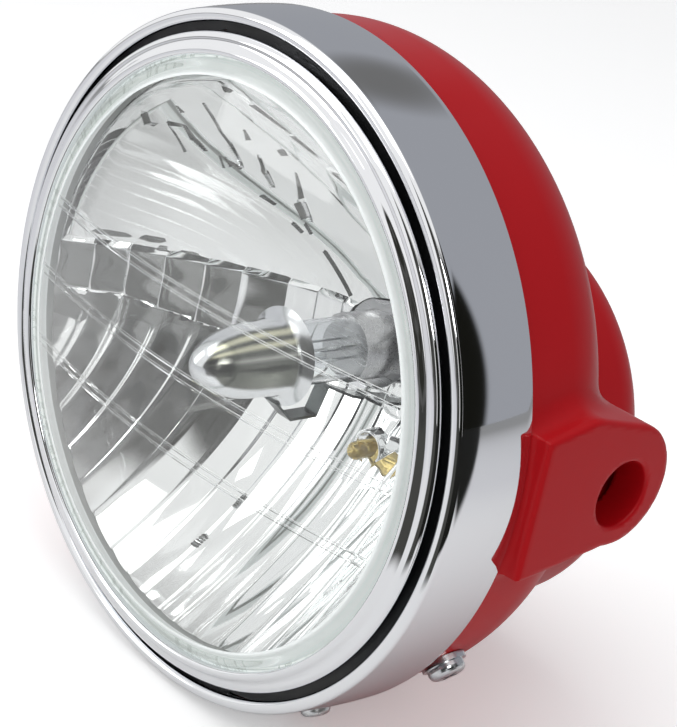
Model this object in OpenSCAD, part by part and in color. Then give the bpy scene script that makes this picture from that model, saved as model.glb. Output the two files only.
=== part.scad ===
// Round motorcycle headlight: painted shell with two bolt ears, chrome outer rim,
// and a lens unit held by a chrome inner ring in a black carrier ring.
// +Z is up, the beam leaves along -Y, and the two ears lie on X.
// The origin is on the optical axis, midway between the two ear holes.
// Depths are measured along +Y from the rear edge of the outer rim, so the
// front of the lamp has negative depths. Angles go round the optical axis
// from +X towards +Z.

/* [Outer rim] */
// Radius of the rim's rear edge
rim_r = 88; // [80:0.5:100]
// Depth of the rim from its rear edge to its front
rim_depth = 21.6; // [19:0.1:28]
// Thickness of the rim's sheet
rim_sheet = 0.9; // [0.6:0.1:1.2]
// Radius of the rolled front nose
rim_nose_r = 1.7; // [1.5:0.1:3]
// How much smaller the rim is behind its nose than at its rear edge
rim_taper = 1.4; // [0.8:0.05:4]
// Depth of the open gap between rim and inner ring, behind the rim's front
gap_depth = 7.1; // [6:0.1:10]
// Width of that gap
gap_w = 2.05; // [1.2:0.05:3]

/* [Inner ring] */
// Width of the inner ring's face
ring_face = 5.75; // [4:0.05:7]
// How far the inner ring stands in front of the outer rim
ring_stand = 2.7; // [1:0.1:5]
// How far the ring's outer edge lies behind its inner one
ring_fall = 1.4; // [0.5:0.1:3]
// Thickness of the inner ring's sheet
ring_sheet = 0.9; // [0.6:0.1:1.1]
// Thickness of the carrier ring's sheet
carrier_sheet = 1.0; // [0.8:0.1:1.6]

/* [Lens] */
// Wall of the lens
lens_wall = 3.0; // [2:0.1:4]
// Radius of the lens's crown
lens_crown_r = 289; // [200:1:500]
// Thickness of the lens's flange
lens_flange = 2.8; // [2:0.1:4]
// Distance between the three moulded line pairs
line_pitch = 19.65; // [14:0.05:22]
// Width of one moulded line
line_w = 0.5; // [0.3:0.1:1]
// Height of one moulded line
line_h = 0.4; // [0.2:0.1:0.8]
// Thickness of the seal behind the lens
seal_t = 2.0; // [1:0.1:3]

/* [Reflector] */
// Focal length of the reflector's curve
focal = 24; // [21:0.5:27]
// Wall of the reflector
reflector_wall = 2.2; // [1.8:0.1:3]
// Thickness of the reflector's flange
reflector_flange = 2.2; // [1.6:0.1:3]
// Radius of the bulb hole
bulb_hole_r = 12; // [10:0.5:14]
// Wall of the collar round the bulb hole
collar_wall = 2.5; // [2:0.1:4]
// How far the collar stands behind the reflector
collar_l = 7; // [5:0.5:10]
// Width of the narrow facet columns in the lower half
lower_col_w = 10; // [8:0.5:16]
// Width of the broad facet columns in the upper half
upper_col_w = 16; // [12:0.5:24]
// Depth of the steps between facets
facet_step = 0.8; // [0.3:0.1:1.2]
// Height above the axis of the line between upper and lower facets
facet_split = 6; // [0:0.5:12]

/* [Bulb] */
// Radius of the bulb's glass
glass_r = 8.4; // [7.5:0.1:8.6]
// Distance from the lens to the tip of the bulb cap
cap_clear = 6.5; // [4:0.1:10]
// Length of the chrome cap over the bulb's front
cap_l = 28; // [26:0.5:32]
// Radius of the cap
cap_r = 9.6; // [9.4:0.1:10.4]
// Radius of the cap's flared rear edge
cap_flare_r = 12.8; // [11.5:0.1:13.5]
// Thickness of the cap's sheet
cap_sheet = 0.6; // [0.4:0.1:0.8]
// Radius of the bulb's metal body
bulb_body_r = 9.2; // [8.8:0.05:9.8]
// Width of one terminal blade
blade_w = 6.3; // [4.8:0.1:8]
// Length of the terminal blades
blade_l = 14; // [10:0.5:18]

/* [Shell] */
// Wall of the shell
shell_wall = 2.6; // [2:0.1:3.5]
// Space between the rim's rear edge and the shell, filled by the gasket
shell_gap = 1.1; // [0.6:0.1:2]
// Depth of the bowl behind the rim
bowl_depth = 39.7; // [37:0.1:44]
// Radius of the bowl's rounded shoulder
bowl_corner = 24; // [16:0.5:30]
// Radius of the round back housing
back_r = 56.5; // [52:0.5:60]
// How far the back housing's centre lies under the optical axis
back_drop = 21.5; // [18:0.5:23]
// How far the back housing stands behind the bowl
back_depth = 52.3; // [46:0.1:60]
// Radius of the back housing's rounded edge
back_corner = 14.5; // [8:0.5:20]

/* [Ears] */
// Distance between the ears' outer faces
ear_span = 183; // [178:0.5:190]
// Depth of the ear holes behind the rim's rear edge
ear_back = 31.5; // [29:0.1:34]
// Diameter of the ear holes
ear_hole_d = 16.7; // [12:0.1:18]
// Length of the ear holes
ear_hole_l = 10; // [8:0.5:12]
// Radius of the ears' rounded rear end
ear_end_r = 15.6; // [14.5:0.1:18]
// How far that end's centre lies above the hole
ear_rise = 2; // [0:0.1:3]
// How deep the ears reach into the bowl's outline
ear_root = 16; // [14:0.5:20]
// Wall at the back of the hollow ears
ear_wall = 2.6; // [2:0.1:3.5]

/* [Fasteners and rubber] */
// Angle of the rim screws from the horizontal, below each ear
rim_screw_angle = 38; // [32:1:42]
// Thread diameter of the rim screws
rim_screw_d = 5; // [4:0.5:6]
// Angle of the two smaller side screws in the rim
side_screw_angle = 60; // [54:1:68]
// Thread diameter of the side screws
side_screw_d = 4; // [3:0.5:5]
// Radius of the cable hole in the back
cable_hole_r = 11; // [8:0.5:14]
// How far the cable hole lies under the back housing's centre
cable_drop = 14; // [0:0.5:18]
// Inner radius of the cable grommet
grommet_r = 6; // [4:0.5:7]
// Wall of the dust boot
boot_wall = 1.8; // [1.2:0.1:2.5]

/* [Hidden] */
$fn = 96;

// Round surfaces of revolution use more facets than small ones
round_fn = 180;
// Small distance by which cutters run past a face
past = 1;
// Clearance between pieces that are only laid in each other
clear = 0.1;

// Stations and radii that follow from the sizes above
rim_front = -rim_depth;
nose_d = rim_front + rim_nose_r;
nose_c = rim_r - rim_taper - rim_nose_r;
rim_inner_r = nose_c - rim_nose_r;
seat_d = rim_front + gap_depth;
carrier_back = seat_d + carrier_sheet;
ring_out_r = rim_inner_r - gap_w;
ring_in_r = ring_out_r - ring_face;
ring_front = rim_front - ring_stand;
flange_r = ring_out_r - ring_sheet - 0.4;
reflector_back = seat_d;
reflector_front = reflector_back - reflector_flange;
lens_back = reflector_front - seal_t;
lens_front = lens_back - lens_flange;
lens_r = ring_in_r - 0.5;
lens_open_r = lens_r - lens_wall;
shoulder_r = 3;
crown_d = lens_front + sqrt(pow(lens_crown_r - shoulder_r, 2) - pow(lens_r - shoulder_r, 2));
lens_tip = crown_d - lens_crown_r;
crown_in_r = lens_crown_r - lens_wall;

// The reflector's curve is R^2 = 4 focal (vertex - depth)
vertex_d = reflector_front + pow(lens_open_r, 2) / (4 * focal);
function bowl_r(d) = sqrt(4 * focal * (vertex_d - d));
function bowl_d(r) = vertex_d - r * r / (4 * focal);
collar_d = bowl_d(bulb_hole_r) + collar_l;
collar_r = bulb_hole_r + collar_wall;
// Land round the collar, that carries the clip and the boot
land_r = collar_r + 6;
land_t = 2.6;

shell_r = rim_r - rim_sheet - shell_gap;
shell_front = carrier_back + 0.3;
shell_in_r = shell_r - shell_wall;
bowl_flat_r = shell_r - bowl_corner;
back_end = bowl_depth + back_depth;
ear_x = ear_span / 2;
// The rim screws sit on the straight part of the bowl's wall
rim_screw_depth = 0.7 * (bowl_depth - bowl_corner);

cap_tip = lens_tip + lens_wall + cap_clear;
cap_end = cap_tip + cap_l;
body_front = 25;
flange_t = 1.5;
bulb_flange_r = collar_r - 0.8;
bulb_rear_r = bulb_hole_r - 3.6;

// A list of points on an arc, from angle a to angle b
function arc(c, r, a, b, n) = [for (i = [0:n]) let (t = a + (b - a) * i / n) c + r * [cos(t), sin(t)]];

// Turns an outline of [radius, depth] points about the optical axis
module turned(points) {
    translate([0, -ear_back, 0])
        rotate([-90, 0, 0])
            rotate_extrude($fn = round_fn)
                polygon(points);
}

// A cylinder along the optical axis, from depth a to depth b
module axial(r, a, b, x = 0, z = 0) {
    translate([x, a - ear_back, z])
        rotate([-90, 0, 0])
            cylinder(r = r, h = b - a);
}

// Places a child at an angle and a depth: its +X points outwards, its +Y to the rear
module at_angle(angle, depth) {
    rotate([0, -angle, 0])
        translate([0, depth - ear_back, 0])
            children();
}

// A radial cylinder in the at_angle frame, from radius a to radius b
module radial(r, a, b) {
    translate([a, 0, 0])
        rotate([0, 90, 0])
            cylinder(r = r, h = b - a, $fn = 48);
}

module both_sides() {
    children();
    mirror([1, 0, 0]) children();
}

// Rim: outer radius at a depth, a shallow bulge that is steepest at the nose
function rim_outer(d) = rim_r - rim_taper * pow(d / nose_d, 2);
rim_steps = 8;

module outer_rim() {
    color("silver")
        difference() {
            turned(concat(
                [for (i = [0:rim_steps]) let (d = nose_d * i / rim_steps) [rim_outer(d), d]],
                arc([nose_c, nose_d], rim_nose_r, -15, -180, 12),
                [[rim_inner_r, seat_d], [rim_inner_r + rim_sheet, seat_d]],
                arc([nose_c, nose_d], rim_nose_r - rim_sheet, -180, -15, 8),
                [for (i = [rim_steps:-1:0]) let (d = nose_d * i / rim_steps) [rim_outer(d) - rim_sheet, d]]
            ));
            for (s = [-1, 1])
                at_angle(-90 + s * (90 - side_screw_angle), side_screw_depth)
                    radial(side_screw_d / 2 + 0.15, shell_in_r, rim_r + past);
        }
}
side_screw_depth = -4.5;

// Rubber strip that fills the step between the shell and the rim's rear edge
gasket_front = -8.5;
gasket_proud = 0.5;
module rim_gasket() {
    color("dimgray")
        difference() {
            turned([[shell_r, gasket_front], [rim_outer(gasket_front) - rim_sheet, gasket_front],
                [rim_r - rim_sheet, 0], [rim_r - rim_sheet - 0.2, gasket_proud], [shell_r, gasket_proud]]);
            for (s = [-1, 1])
                at_angle(-90 + s * (90 - side_screw_angle), side_screw_depth)
                    radial(side_screw_d / 2 + 0.15, shell_in_r, rim_r + past);
        }
}

// Inner ring: side wall, rounded face and a return that presses on the lens
tab_count = 4;
tab_angle = 20;
tab_w = 12;
tab_reach = 2.4;
ring_nose_r = 1.9;
ring_lip_r = 1.1;
module inner_ring() {
    outer_c = [ring_out_r - ring_nose_r, ring_front + ring_fall + ring_nose_r];
    lip_c = [ring_in_r + ring_lip_r, ring_front + ring_lip_r];
    link = lip_c - outer_c;
    face_a = atan2(link[1], link[0]) + acos((ring_nose_r - ring_lip_r) / norm(link));
    color("gainsboro") {
        turned(concat(
            [[ring_out_r, seat_d]],
            arc(outer_c, ring_nose_r, 0, face_a, 7),
            arc(lip_c, ring_lip_r, face_a, -180, 8),
            [[ring_in_r, lens_front], [ring_in_r + ring_sheet, lens_front]],
            arc(lip_c, ring_lip_r - ring_sheet, -180, face_a, 5),
            arc(outer_c, ring_nose_r - ring_sheet, face_a, 0, 5),
            [[ring_out_r - ring_sheet, seat_d]]
        ));
        for (i = [0:tab_count - 1])
            at_angle(tab_angle + i * 360 / tab_count, 0) {
                // Tab through the carrier ring, folded outwards behind it
                translate([ring_out_r - ring_sheet, seat_d - past, -tab_w / 2])
                    cube([ring_sheet - 0.25, carrier_sheet + clear + past + ring_sheet, tab_w]);
                translate([ring_out_r - ring_sheet, carrier_back + clear, -tab_w / 2])
                    cube([tab_reach, ring_sheet, tab_w]);
            }
    }
}

// Carrier ring: black sheet behind the gap, that joins the lens unit to the rim
carrier_in_r = bowl_r(seat_d) + reflector_wall + 0.8;
carrier_out_r = rim_outer(seat_d) - rim_sheet - clear;
module carrier_ring() {
    color([0.08, 0.08, 0.09])
        difference() {
            turned([[carrier_in_r, seat_d], [carrier_out_r, seat_d], [carrier_out_r, carrier_back],
                [carrier_in_r, carrier_back]]);
            for (i = [0:tab_count - 1])
                at_angle(tab_angle + i * 360 / tab_count, 0)
                    translate([ring_out_r - ring_sheet - 0.3, seat_d - past, -tab_w / 2 - 0.3])
                        cube([ring_sheet + 0.4, carrier_sheet + 2 * past, tab_w + 0.6]);
        }
}

// Lens: a shallow crown on a round shoulder, with a flange under the inner ring
crown_edge_a = asin((lens_r - shoulder_r) / (lens_crown_r - shoulder_r));
module lens() {
    inner_a = asin(lens_open_r / crown_in_r);
    color([0.9, 0.95, 1, 0.35]) {
        turned(concat(
            [for (i = [0:8]) let (a = crown_edge_a * i / 8)
                [lens_crown_r * sin(a), crown_d - lens_crown_r * cos(a)]],
            arc([lens_r - shoulder_r, lens_front], shoulder_r, -90 + crown_edge_a, 0, 8),
            [[flange_r, lens_front], [flange_r, lens_back], [lens_open_r, lens_back]],
            [for (i = [8:-1:0]) let (a = inner_a * i / 8)
                [crown_in_r * sin(a), crown_d - crown_in_r * cos(a)]]
        ));
        // Three pairs of fine horizontal ribs moulded on the inside of the crown
        for (k = [-1:1])
            for (side = [-1, 1])
                intersection() {
                    rib_layer();
                    translate([-lens_r, lens_tip - ear_back, k * line_pitch + side * 1.1 - line_w / 2])
                        cube([2 * lens_r, lens_back - lens_tip, line_w]);
                }
    }
}
module rib_layer() {
    inner_a = asin(lens_open_r / crown_in_r);
    turned(concat(
        [for (i = [0:8]) let (a = inner_a * i / 8)
            [crown_in_r * sin(a), crown_d - (crown_in_r + 0.2) * cos(a)]],
        [for (i = [8:-1:0]) let (a = inner_a * i / 8)
            [crown_in_r * sin(a), crown_d - (crown_in_r - line_h) * cos(a)]]
    ));
}

module lens_seal() {
    color([0.15, 0.15, 0.16])
        turned([[lens_open_r + 0.3, lens_back], [flange_r, lens_back], [flange_r, reflector_front],
            [lens_open_r + 0.3, reflector_front]]);
}

// Reflector: stepped facet columns inside a smooth bowl
bowl_steps = 9;
module bowl_solid() {
    // The filled bowl, from its mouth back to the vertex
    top = reflector_front - past;
    turned(concat(
        [for (i = [0:bowl_steps]) let (r = bowl_r(top) * i / bowl_steps) [r, bowl_d(r)]],
        [[0, top]]
    ));
}
module facet_column(x, w, z_low, z_high, shift) {
    intersection() {
        translate([x, reflector_front - ear_back - 2 * past, z_low])
            cube([w, vertex_d - reflector_front + 6, z_high - z_low]);
        translate([0, shift, 0]) bowl_solid();
    }
}
// Each facet column is set back by a step of its own
function column_shift(i) = facet_step * ((i % 3) - 1) / 2;
module facets() {
    lower_n = ceil(lens_open_r / lower_col_w);
    upper_n = ceil(lens_open_r / upper_col_w);
    for (i = [-lower_n:lower_n - 1])
        facet_column(i * lower_col_w, lower_col_w + 0.01, -lens_r, facet_split,
            column_shift(i + 3 * lower_n));
    for (i = [-upper_n:upper_n - 1])
        facet_column(i * upper_col_w, upper_col_w + 0.01, facet_split, lens_r,
            column_shift(i + 3 * upper_n + 1));
}
pilot_angle = -60;
pilot_hole_r = 4.6;
pilot_stem_r = pilot_hole_r - 1;
pilot_bulb_r = 2.5;
pilot_r = land_r + clear + boot_wall + pilot_stem_r + 1;
leg_z = -15.5;
module reflector() {
    color("whitesmoke")
        difference() {
            union() {
                turned([[lens_open_r - 2, reflector_front], [flange_r, reflector_front],
                    [flange_r, reflector_back], [lens_open_r - 2, reflector_back]]);
                reflector_back_skin();
                axial(collar_r, bowl_d(collar_r) - 1, collar_d - past);
                axial(land_r, collar_d - land_t, collar_d);
                at_angle(pilot_angle, 0)
                    axial_here(pilot_hole_r + 2, bowl_d(pilot_r) - 1, pilot_end, pilot_r);
            }
            facets();
            axial(bulb_hole_r, 0, collar_d + past);
            axial(leg_rivet_r, leg_foot - past, leg_rivet_end, 0, leg_z + 1);
            axial(clip_screw_r, collar_d - land_t - past, collar_d + past, 0, clip_screw_z);
            at_angle(pilot_angle, 0)
                axial_here(pilot_hole_r, 0, pilot_end + past, pilot_r);
        }
}
pilot_end = bowl_d(pilot_r) + collar_l + 1;
module reflector_back_skin() {
    top = reflector_front;
    turned(concat(
        [for (i = [0:bowl_steps]) let (r = bowl_r(top) * i / bowl_steps)
            [r + (i == 0 ? 0 : reflector_wall), bowl_d(r) + reflector_wall * 0.9 * (1 - i / bowl_steps)]],
        [[0, top]]
    ));
}
// An axial cylinder at radius x in the at_angle frame, which has its own depth origin
module axial_here(r, a, b, x) {
    translate([x, a, 0])
        rotate([-90, 0, 0])
            cylinder(r = r, h = b - a, $fn = 48);
}

// Bulb cap: a chrome bullet with a flared rear edge over the bulb's front, held by one bent leg
cap_nose = 19;
cap_flare_l = 4;
leg_w = 5;
leg_t = 0.8;
cap_straight_end = cap_end - cap_flare_l;
module shield_cap() {
    color("silver") {
        turned(concat(
            [for (i = [0:8]) [cap_r * sin(90 * i / 8), cap_tip + cap_nose * (1 - cos(90 * i / 8))]],
            [[cap_r, cap_straight_end], [cap_flare_r, cap_end],
                [cap_flare_r - cap_sheet, cap_end + cap_sheet / 2],
                [cap_r - cap_sheet, cap_straight_end + cap_sheet / 2]],
            [for (i = [8:-1:0]) [(cap_r - cap_sheet) * sin(90 * i / 8),
                cap_tip + cap_nose - (cap_nose - cap_sheet) * cos(90 * i / 8)]]
        ));
        leg_strip(leg_points);
    }
}
// The leg's bends as [depth, height] points below the bulb, from the flare to the rivet
leg_start = 1;
leg_top_z = -cap_r - (cap_flare_r - cap_r) * (1 - leg_start / cap_flare_l);
leg_foot = bowl_d(-leg_z) - leg_t / 2 - 0.9;
leg_rivet_r = 1.4;
leg_rivet_end = leg_foot + leg_t + 4;
leg_mid = (cap_end + leg_foot) / 2;
leg_points = [[cap_end - leg_start, leg_top_z], [cap_end + 5, leg_z - 2], [leg_mid - 1, leg_z - 2],
    [leg_mid + 1.5, -glass_r - 1.2], [leg_foot - 4, leg_z + 2], [leg_foot, leg_z + 1]];
module leg_strip(points) {
    for (i = [0:len(points) - 2])
        leg_bar(points[i], points[i + 1]);
}
module leg_bar(a, b) {
    length = norm(b - a);
    translate([0, a[0] - ear_back, a[1]])
        rotate([atan2(b[1] - a[1], b[0] - a[0]), 0, 0])
            translate([-leg_w / 2, -leg_t / 2, -leg_t / 2])
                cube([leg_w, length + leg_t, leg_t]);
}
module shield_rivet() {
    color("goldenrod")
        axial(leg_rivet_r, leg_foot + leg_t, leg_rivet_end, 0, leg_z + 1);
}

// Bulb: glass, two filaments on their wires, body with flange, three blades
// The glass and the cap reach their full radius at one depth
glass_nose = 1.4 * glass_r;
glass_front = cap_tip + cap_nose - glass_nose;
glass_wall = 0.9;
module bulb_glass() {
    color([0.92, 0.95, 1, 0.4])
        turned(concat(
            [for (i = [0:6]) [glass_r * sin(15 * i), glass_front + glass_nose * (1 - cos(15 * i))]],
            [[glass_r, body_front], [glass_r - glass_wall, body_front]],
            [for (i = [6:-1:0]) [(glass_r - glass_wall) * sin(15 * i),
                glass_front + glass_nose - (glass_nose - glass_wall) * cos(15 * i)]]
        ));
}
filament_r = 0.9;
wire_r = 0.4;
filament_lead_x = 2.6;
filament_depths = [9, 16];
module bulb_filaments() {
    color("goldenrod")
        for (k = [0:1]) {
            z = k == 0 ? 1.6 : -1.6;
            axial(filament_r, filament_depths[k] - 2.5, filament_depths[k] + 2.5, 0, z);
            for (s = [-1, 1]) {
                axial(wire_r, filament_depths[k] - s * 2, body_front, s * filament_lead_x, z);
                translate([s > 0 ? 0 : -filament_lead_x, filament_depths[k] - s * 2 - ear_back, z])
                    rotate([0, 90, 0])
                        cylinder(r = wire_r, h = filament_lead_x, $fn = 24);
            }
        }
}
module bulb_base() {
    color("silver")
        union() {
            axial(bulb_body_r, body_front, collar_d - 6);
            axial(bulb_hole_r - 0.2, collar_d - 6, collar_d);
            axial(bulb_flange_r, collar_d, collar_d + flange_t);
            axial(bulb_rear_r, collar_d + flange_t, blade_start);
        }
}
blade_start = collar_d + flange_t + 5;
blade_t = 0.8;
blade_gap = 4.4;
module bulb_terminals() {
    color("gold") {
        translate([-blade_w / 2, blade_start - ear_back, blade_gap])
            cube([blade_w, blade_l, blade_t]);
        for (s = [-1, 1])
            translate([s * blade_gap - blade_t / 2, blade_start - ear_back, -blade_w / 2 - 2.5])
                cube([blade_t, blade_l, blade_w]);
    }
}

// Wire clip that presses the bulb's flange on the collar, and its screw
clip_wire_r = 0.7;
clip_screw_r = 1.5;
clip_head_h = 1.8;
clip_half = collar_r - 5;
clip_joint_r = clip_wire_r + 0.2;
clip_plane = collar_d + flange_t + clip_joint_r;
clip_anchor_z = collar_r + 4;
clip_loop_x = 2.6;
clip_screw_z = clip_anchor_z - clip_wire_r - clip_screw_r;
clip_post_r = 2.5;
module clip_rod(a, b) {
    v = b - a;
    translate([a[0], clip_plane - ear_back, a[1]])
        rotate([0, atan2(v[0], v[1]), 0])
            cylinder(r = clip_wire_r, h = norm(v), $fn = 24);
}
module bulb_clip() {
    p = [[clip_half, -clip_half], [clip_half, clip_half * 0.6], [clip_loop_x, clip_anchor_z],
        [-clip_loop_x, clip_anchor_z], [-clip_half, clip_half * 0.6], [-clip_half, -clip_half]];
    color("lightsteelblue") {
        for (i = [0:len(p) - 2])
            clip_rod(p[i], p[i + 1]);
        for (q = p)
            translate([q[0], clip_plane - ear_back, q[1]])
                sphere(r = clip_joint_r, $fn = 24);
    }
}
module clip_screw() {
    head_d = clip_plane + clip_joint_r;
    color("silver")
        difference() {
            union() {
                axial(clip_screw_r, collar_d - land_t, head_d, 0, clip_screw_z);
                axial(clip_post_r, collar_d, clip_plane - clip_joint_r, 0, clip_screw_z);
                axial(clip_post_r, head_d, head_d + clip_head_h, 0, clip_screw_z);
            }
            cross_recess(head_d + clip_head_h, clip_screw_z, 0.8 * clip_post_r);
        }
}
module cross_recess(depth, z, size) {
    for (a = [0, 90])
        translate([0, depth - ear_back, z])
            rotate([0, a, 0])
                translate([-size / 2, -0.9, -0.35])
                    cube([size, 1.8, 0.7]);
}

// Rubber boot that grips the land and covers the bulb's back
boot_in_r = land_r + clear;
boot_neck_r = bulb_hole_r - 1.4;
boot_front = collar_d - land_t;
boot_shoulder = clip_plane + clip_joint_r + clip_head_h + 1.2;
boot_back = blade_start + 1;
boot_lip = 2.5;
module dust_boot() {
    color([0.12, 0.12, 0.13])
        turned([
            [boot_in_r, boot_front], [boot_in_r + boot_wall, boot_front],
            [boot_in_r + boot_wall, boot_shoulder],
            [boot_neck_r + boot_wall, boot_back + 3], [boot_neck_r - boot_lip, boot_back + 3],
            [boot_neck_r - boot_lip, boot_back + 1], [boot_neck_r, boot_back + 1],
            [boot_in_r, boot_shoulder - boot_wall / 2]
        ]);
}

// Small position bulb in its rubber holder, low beside the main bulb
module position_bulb() {
    color([0.95, 0.95, 0.9, 0.5])
        at_angle(pilot_angle, 0)
            translate([pilot_r, 0, 0]) {
                translate([0, bowl_d(pilot_r) - 6, 0])
                    sphere(r = pilot_bulb_r, $fn = 32);
                translate([0, bowl_d(pilot_r) - 6, 0])
                    rotate([-90, 0, 0])
                        cylinder(r = pilot_bulb_r, h = 9, $fn = 32);
            }
}
module position_holder() {
    color([0.16, 0.16, 0.17])
        at_angle(pilot_angle, 0)
            difference() {
                union() {
                    axial_here(pilot_hole_r, bowl_d(pilot_r) + 1.5, pilot_end, pilot_r);
                    axial_here(pilot_hole_r + 1.6, pilot_end, pilot_end + 2, pilot_r);
                    axial_here(pilot_stem_r, pilot_end + 2, pilot_end + 9, pilot_r);
                }
                axial_here(pilot_bulb_r, bowl_d(pilot_r), bowl_d(pilot_r) + 3, pilot_r);
            }
}

// Shell: turned bowl, round back housing set low, and two hollow ears
module bowl_outline(inset) {
    r = shell_r - inset;
    corner = bowl_corner - inset;
    flat_d = bowl_depth - inset;
    turned(concat(
        [[0, shell_front - (inset > 0 ? past : 0)], [r, shell_front - (inset > 0 ? past : 0)]],
        arc([bowl_flat_r, bowl_depth - bowl_corner], corner, 0, 90, 14),
        [[0, flat_d]]
    ));
}
module back_outline(inset) {
    r = back_r - inset;
    corner = back_corner - inset;
    front = inset > 0 ? bowl_depth - shell_wall - past : bowl_depth - bowl_corner;
    translate([0, 0, -back_drop])
        turned(concat(
            [[0, front], [r, front]],
            arc([back_r - back_corner, back_end - back_corner], corner, 0, 90, 10),
            [[0, back_end - inset]]
        ));
}
ear_in_x = shell_r - ear_root;
ear_t = ear_x - ear_in_x;
ear_top_d = 17;
ear_top_z = 20.8;
ear_top_r = 12;
ear_front_d = 1;
ear_front_z = 17.5;
module ear_block() {
    // Outline in the plane of the ear: round rear end, crowned top, sloping underside
    rear = [0, ear_rise];
    crest = [ear_top_d - ear_back, ear_top_z - ear_top_r];
    link = crest - rear;
    tangent_a = atan2(link[1], link[0]) - acos((ear_end_r - ear_top_r) / norm(link));
    front = ear_front_d - ear_back;
    translate([ear_in_x, 0, 0])
        ear_prism(concat(
            arc(rear, ear_end_r, -98, tangent_a, 24),
            arc(crest, ear_top_r, tangent_a, 104, 4),
            [[front, ear_front_z], [front, -ear_front_z]]
        ));
}
module ear_prism(points) {
    rotate([90, 0, 90])
        linear_extrude(ear_t)
            polygon(points);
}
pocket_r = 11;
module housing() {
    color([0.66, 0.11, 0.14])
        difference() {
            union() {
                difference() {
                    union() {
                        bowl_outline(0);
                        back_outline(0);
                        both_sides() ear_block();
                    }
                    bowl_outline(shell_wall);
                    back_outline(shell_wall);
                }
                both_sides() ear_boss();
            }
            both_sides() ear_cuts();
            // Holes for the rim screws, the side screws, the top hook and the cable
            for (s = [-1, 1]) {
                at_angle(-90 + s * (90 - rim_screw_angle), rim_screw_depth)
                    radial(rim_screw_d / 2 + 0.2, shell_in_r - past, shell_r + past);
                at_angle(-90 + s * (90 - side_screw_angle), side_screw_depth)
                    radial(side_screw_d / 2 + 0.15, shell_in_r - past, shell_r + past);
            }
            at_angle(90, hook_d)
                translate([shell_in_r - past, -hook_t / 2 - 0.2, -hook_w / 2 - 0.5])
                    cube([shell_wall + 2 * past, hook_t + 0.4, hook_w + 1]);
            axial(cable_hole_r, back_end - shell_wall - past, back_end + past, 0, -back_drop - cable_drop);
        }
}
// Solid round the bore, where the bowl's hollow would open it
module ear_boss() {
    intersection() {
        translate([ear_x - ear_hole_l, 0, 0])
            rotate([0, 90, 0])
                cylinder(r = pocket_r + ear_wall, h = ear_hole_l);
        ear_block();
    }
}
module ear_cuts() {
    // The bore, and the pocket for the nut behind it
    translate([ear_x - ear_hole_l - past, 0, 0])
        rotate([0, 90, 0])
            cylinder(r = ear_hole_d / 2, h = ear_hole_l + 2 * past);
    translate([ear_in_x + ear_wall, 0, 0])
        rotate([0, 90, 0])
            cylinder(r = pocket_r, h = ear_t - ear_wall - ear_hole_l);
}

// Steel brackets on the carrier ring, that take the rim screws inside the shell
leg_out_r = shell_in_r - 0.3;
bracket_t = 1.2;
rivet_r = 1.6;
rivet_head_r = 2.6;
rivet_head_h = 1.2;
bracket_w = 14;
foot_in_r = carrier_in_r + 3;
foot_rivet_r = leg_out_r - bracket_t - rivet_head_r - 0.2;
bracket_end = rim_screw_depth + bracket_w / 2 - 1;
module rim_brackets() {
    color("silver")
        for (s = [-1, 1])
            at_angle(-90 + s * (90 - rim_screw_angle), 0)
                difference() {
                    union() {
                        translate([foot_in_r, carrier_back, -bracket_w / 2])
                            cube([leg_out_r - foot_in_r, bracket_t, bracket_w]);
                        intersection() {
                            translate([foot_in_r, carrier_back, -bracket_w / 2])
                                cube([leg_out_r - foot_in_r + 5, bracket_end - carrier_back, bracket_w]);
                            rotate([-90, 0, 0])
                                translate([0, 0, carrier_back])
                                    difference() {
                                        cylinder(r = leg_out_r, h = bracket_end - carrier_back,
                                            $fn = round_fn);
                                        translate([0, 0, -past])
                                            cylinder(r = leg_out_r - bracket_t,
                                                h = bracket_end - carrier_back + 2 * past, $fn = round_fn);
                                    }
                        }
                    }
                    translate([0, rim_screw_depth, 0])
                        radial(rim_screw_d / 2 + 0.2, foot_in_r, shell_in_r + past);
                    translate([foot_rivet_r, carrier_back - past, 0])
                        rotate([-90, 0, 0])
                            cylinder(r = rivet_r, h = bracket_t + 2 * past, $fn = 32);
                }
}
module bracket_rivets() {
    color("silver")
        for (s = [-1, 1])
            at_angle(-90 + s * (90 - rim_screw_angle), 0)
                translate([foot_rivet_r, 0, 0]) {
                    translate([0, carrier_back, 0])
                        rotate([-90, 0, 0])
                            cylinder(r = rivet_r, h = bracket_t, $fn = 32);
                    translate([0, carrier_back + bracket_t, 0])
                        rotate([-90, 0, 0])
                            cylinder(r = rivet_head_r, h = rivet_head_h, $fn = 32);
                }
}
nut_h = 0.8 * rim_screw_d;
nut_w = 1.6 * rim_screw_d;
module bracket_nuts() {
    color("silver")
        for (s = [-1, 1])
            at_angle(-90 + s * (90 - rim_screw_angle), rim_screw_depth)
                translate([leg_out_r - bracket_t - 0.2 - nut_h, 0, 0])
                    difference() {
                        translate([nut_h / 2, 0, 0]) cube([nut_h, nut_w, nut_w], center = true);
                        rotate([0, 90, 0])
                            translate([0, 0, -past])
                                cylinder(r = rim_screw_d / 2, h = nut_h + 2 * past, $fn = 48);
                    }
}

// Hook at the top of the carrier ring, that catches in a slot of the shell
hook_d = -2.4;
hook_t = 1.2;
hook_w = 14;
module top_hook() {
    color("silver")
        at_angle(90, 0) {
            translate([foot_in_r, carrier_back, -hook_w / 2])
                cube([leg_out_r - 0.6 - foot_in_r, hook_t, hook_w]);
            translate([leg_out_r - 0.6 - hook_t, carrier_back, -hook_w / 2])
                cube([hook_t, hook_d + hook_t / 2 - carrier_back, hook_w]);
            translate([leg_out_r - 0.6 - hook_t, hook_d - hook_t / 2, -hook_w / 2])
                cube([shell_r - 0.9 - leg_out_r + 0.6 + hook_t, hook_t, hook_w]);
        }
}

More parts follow.
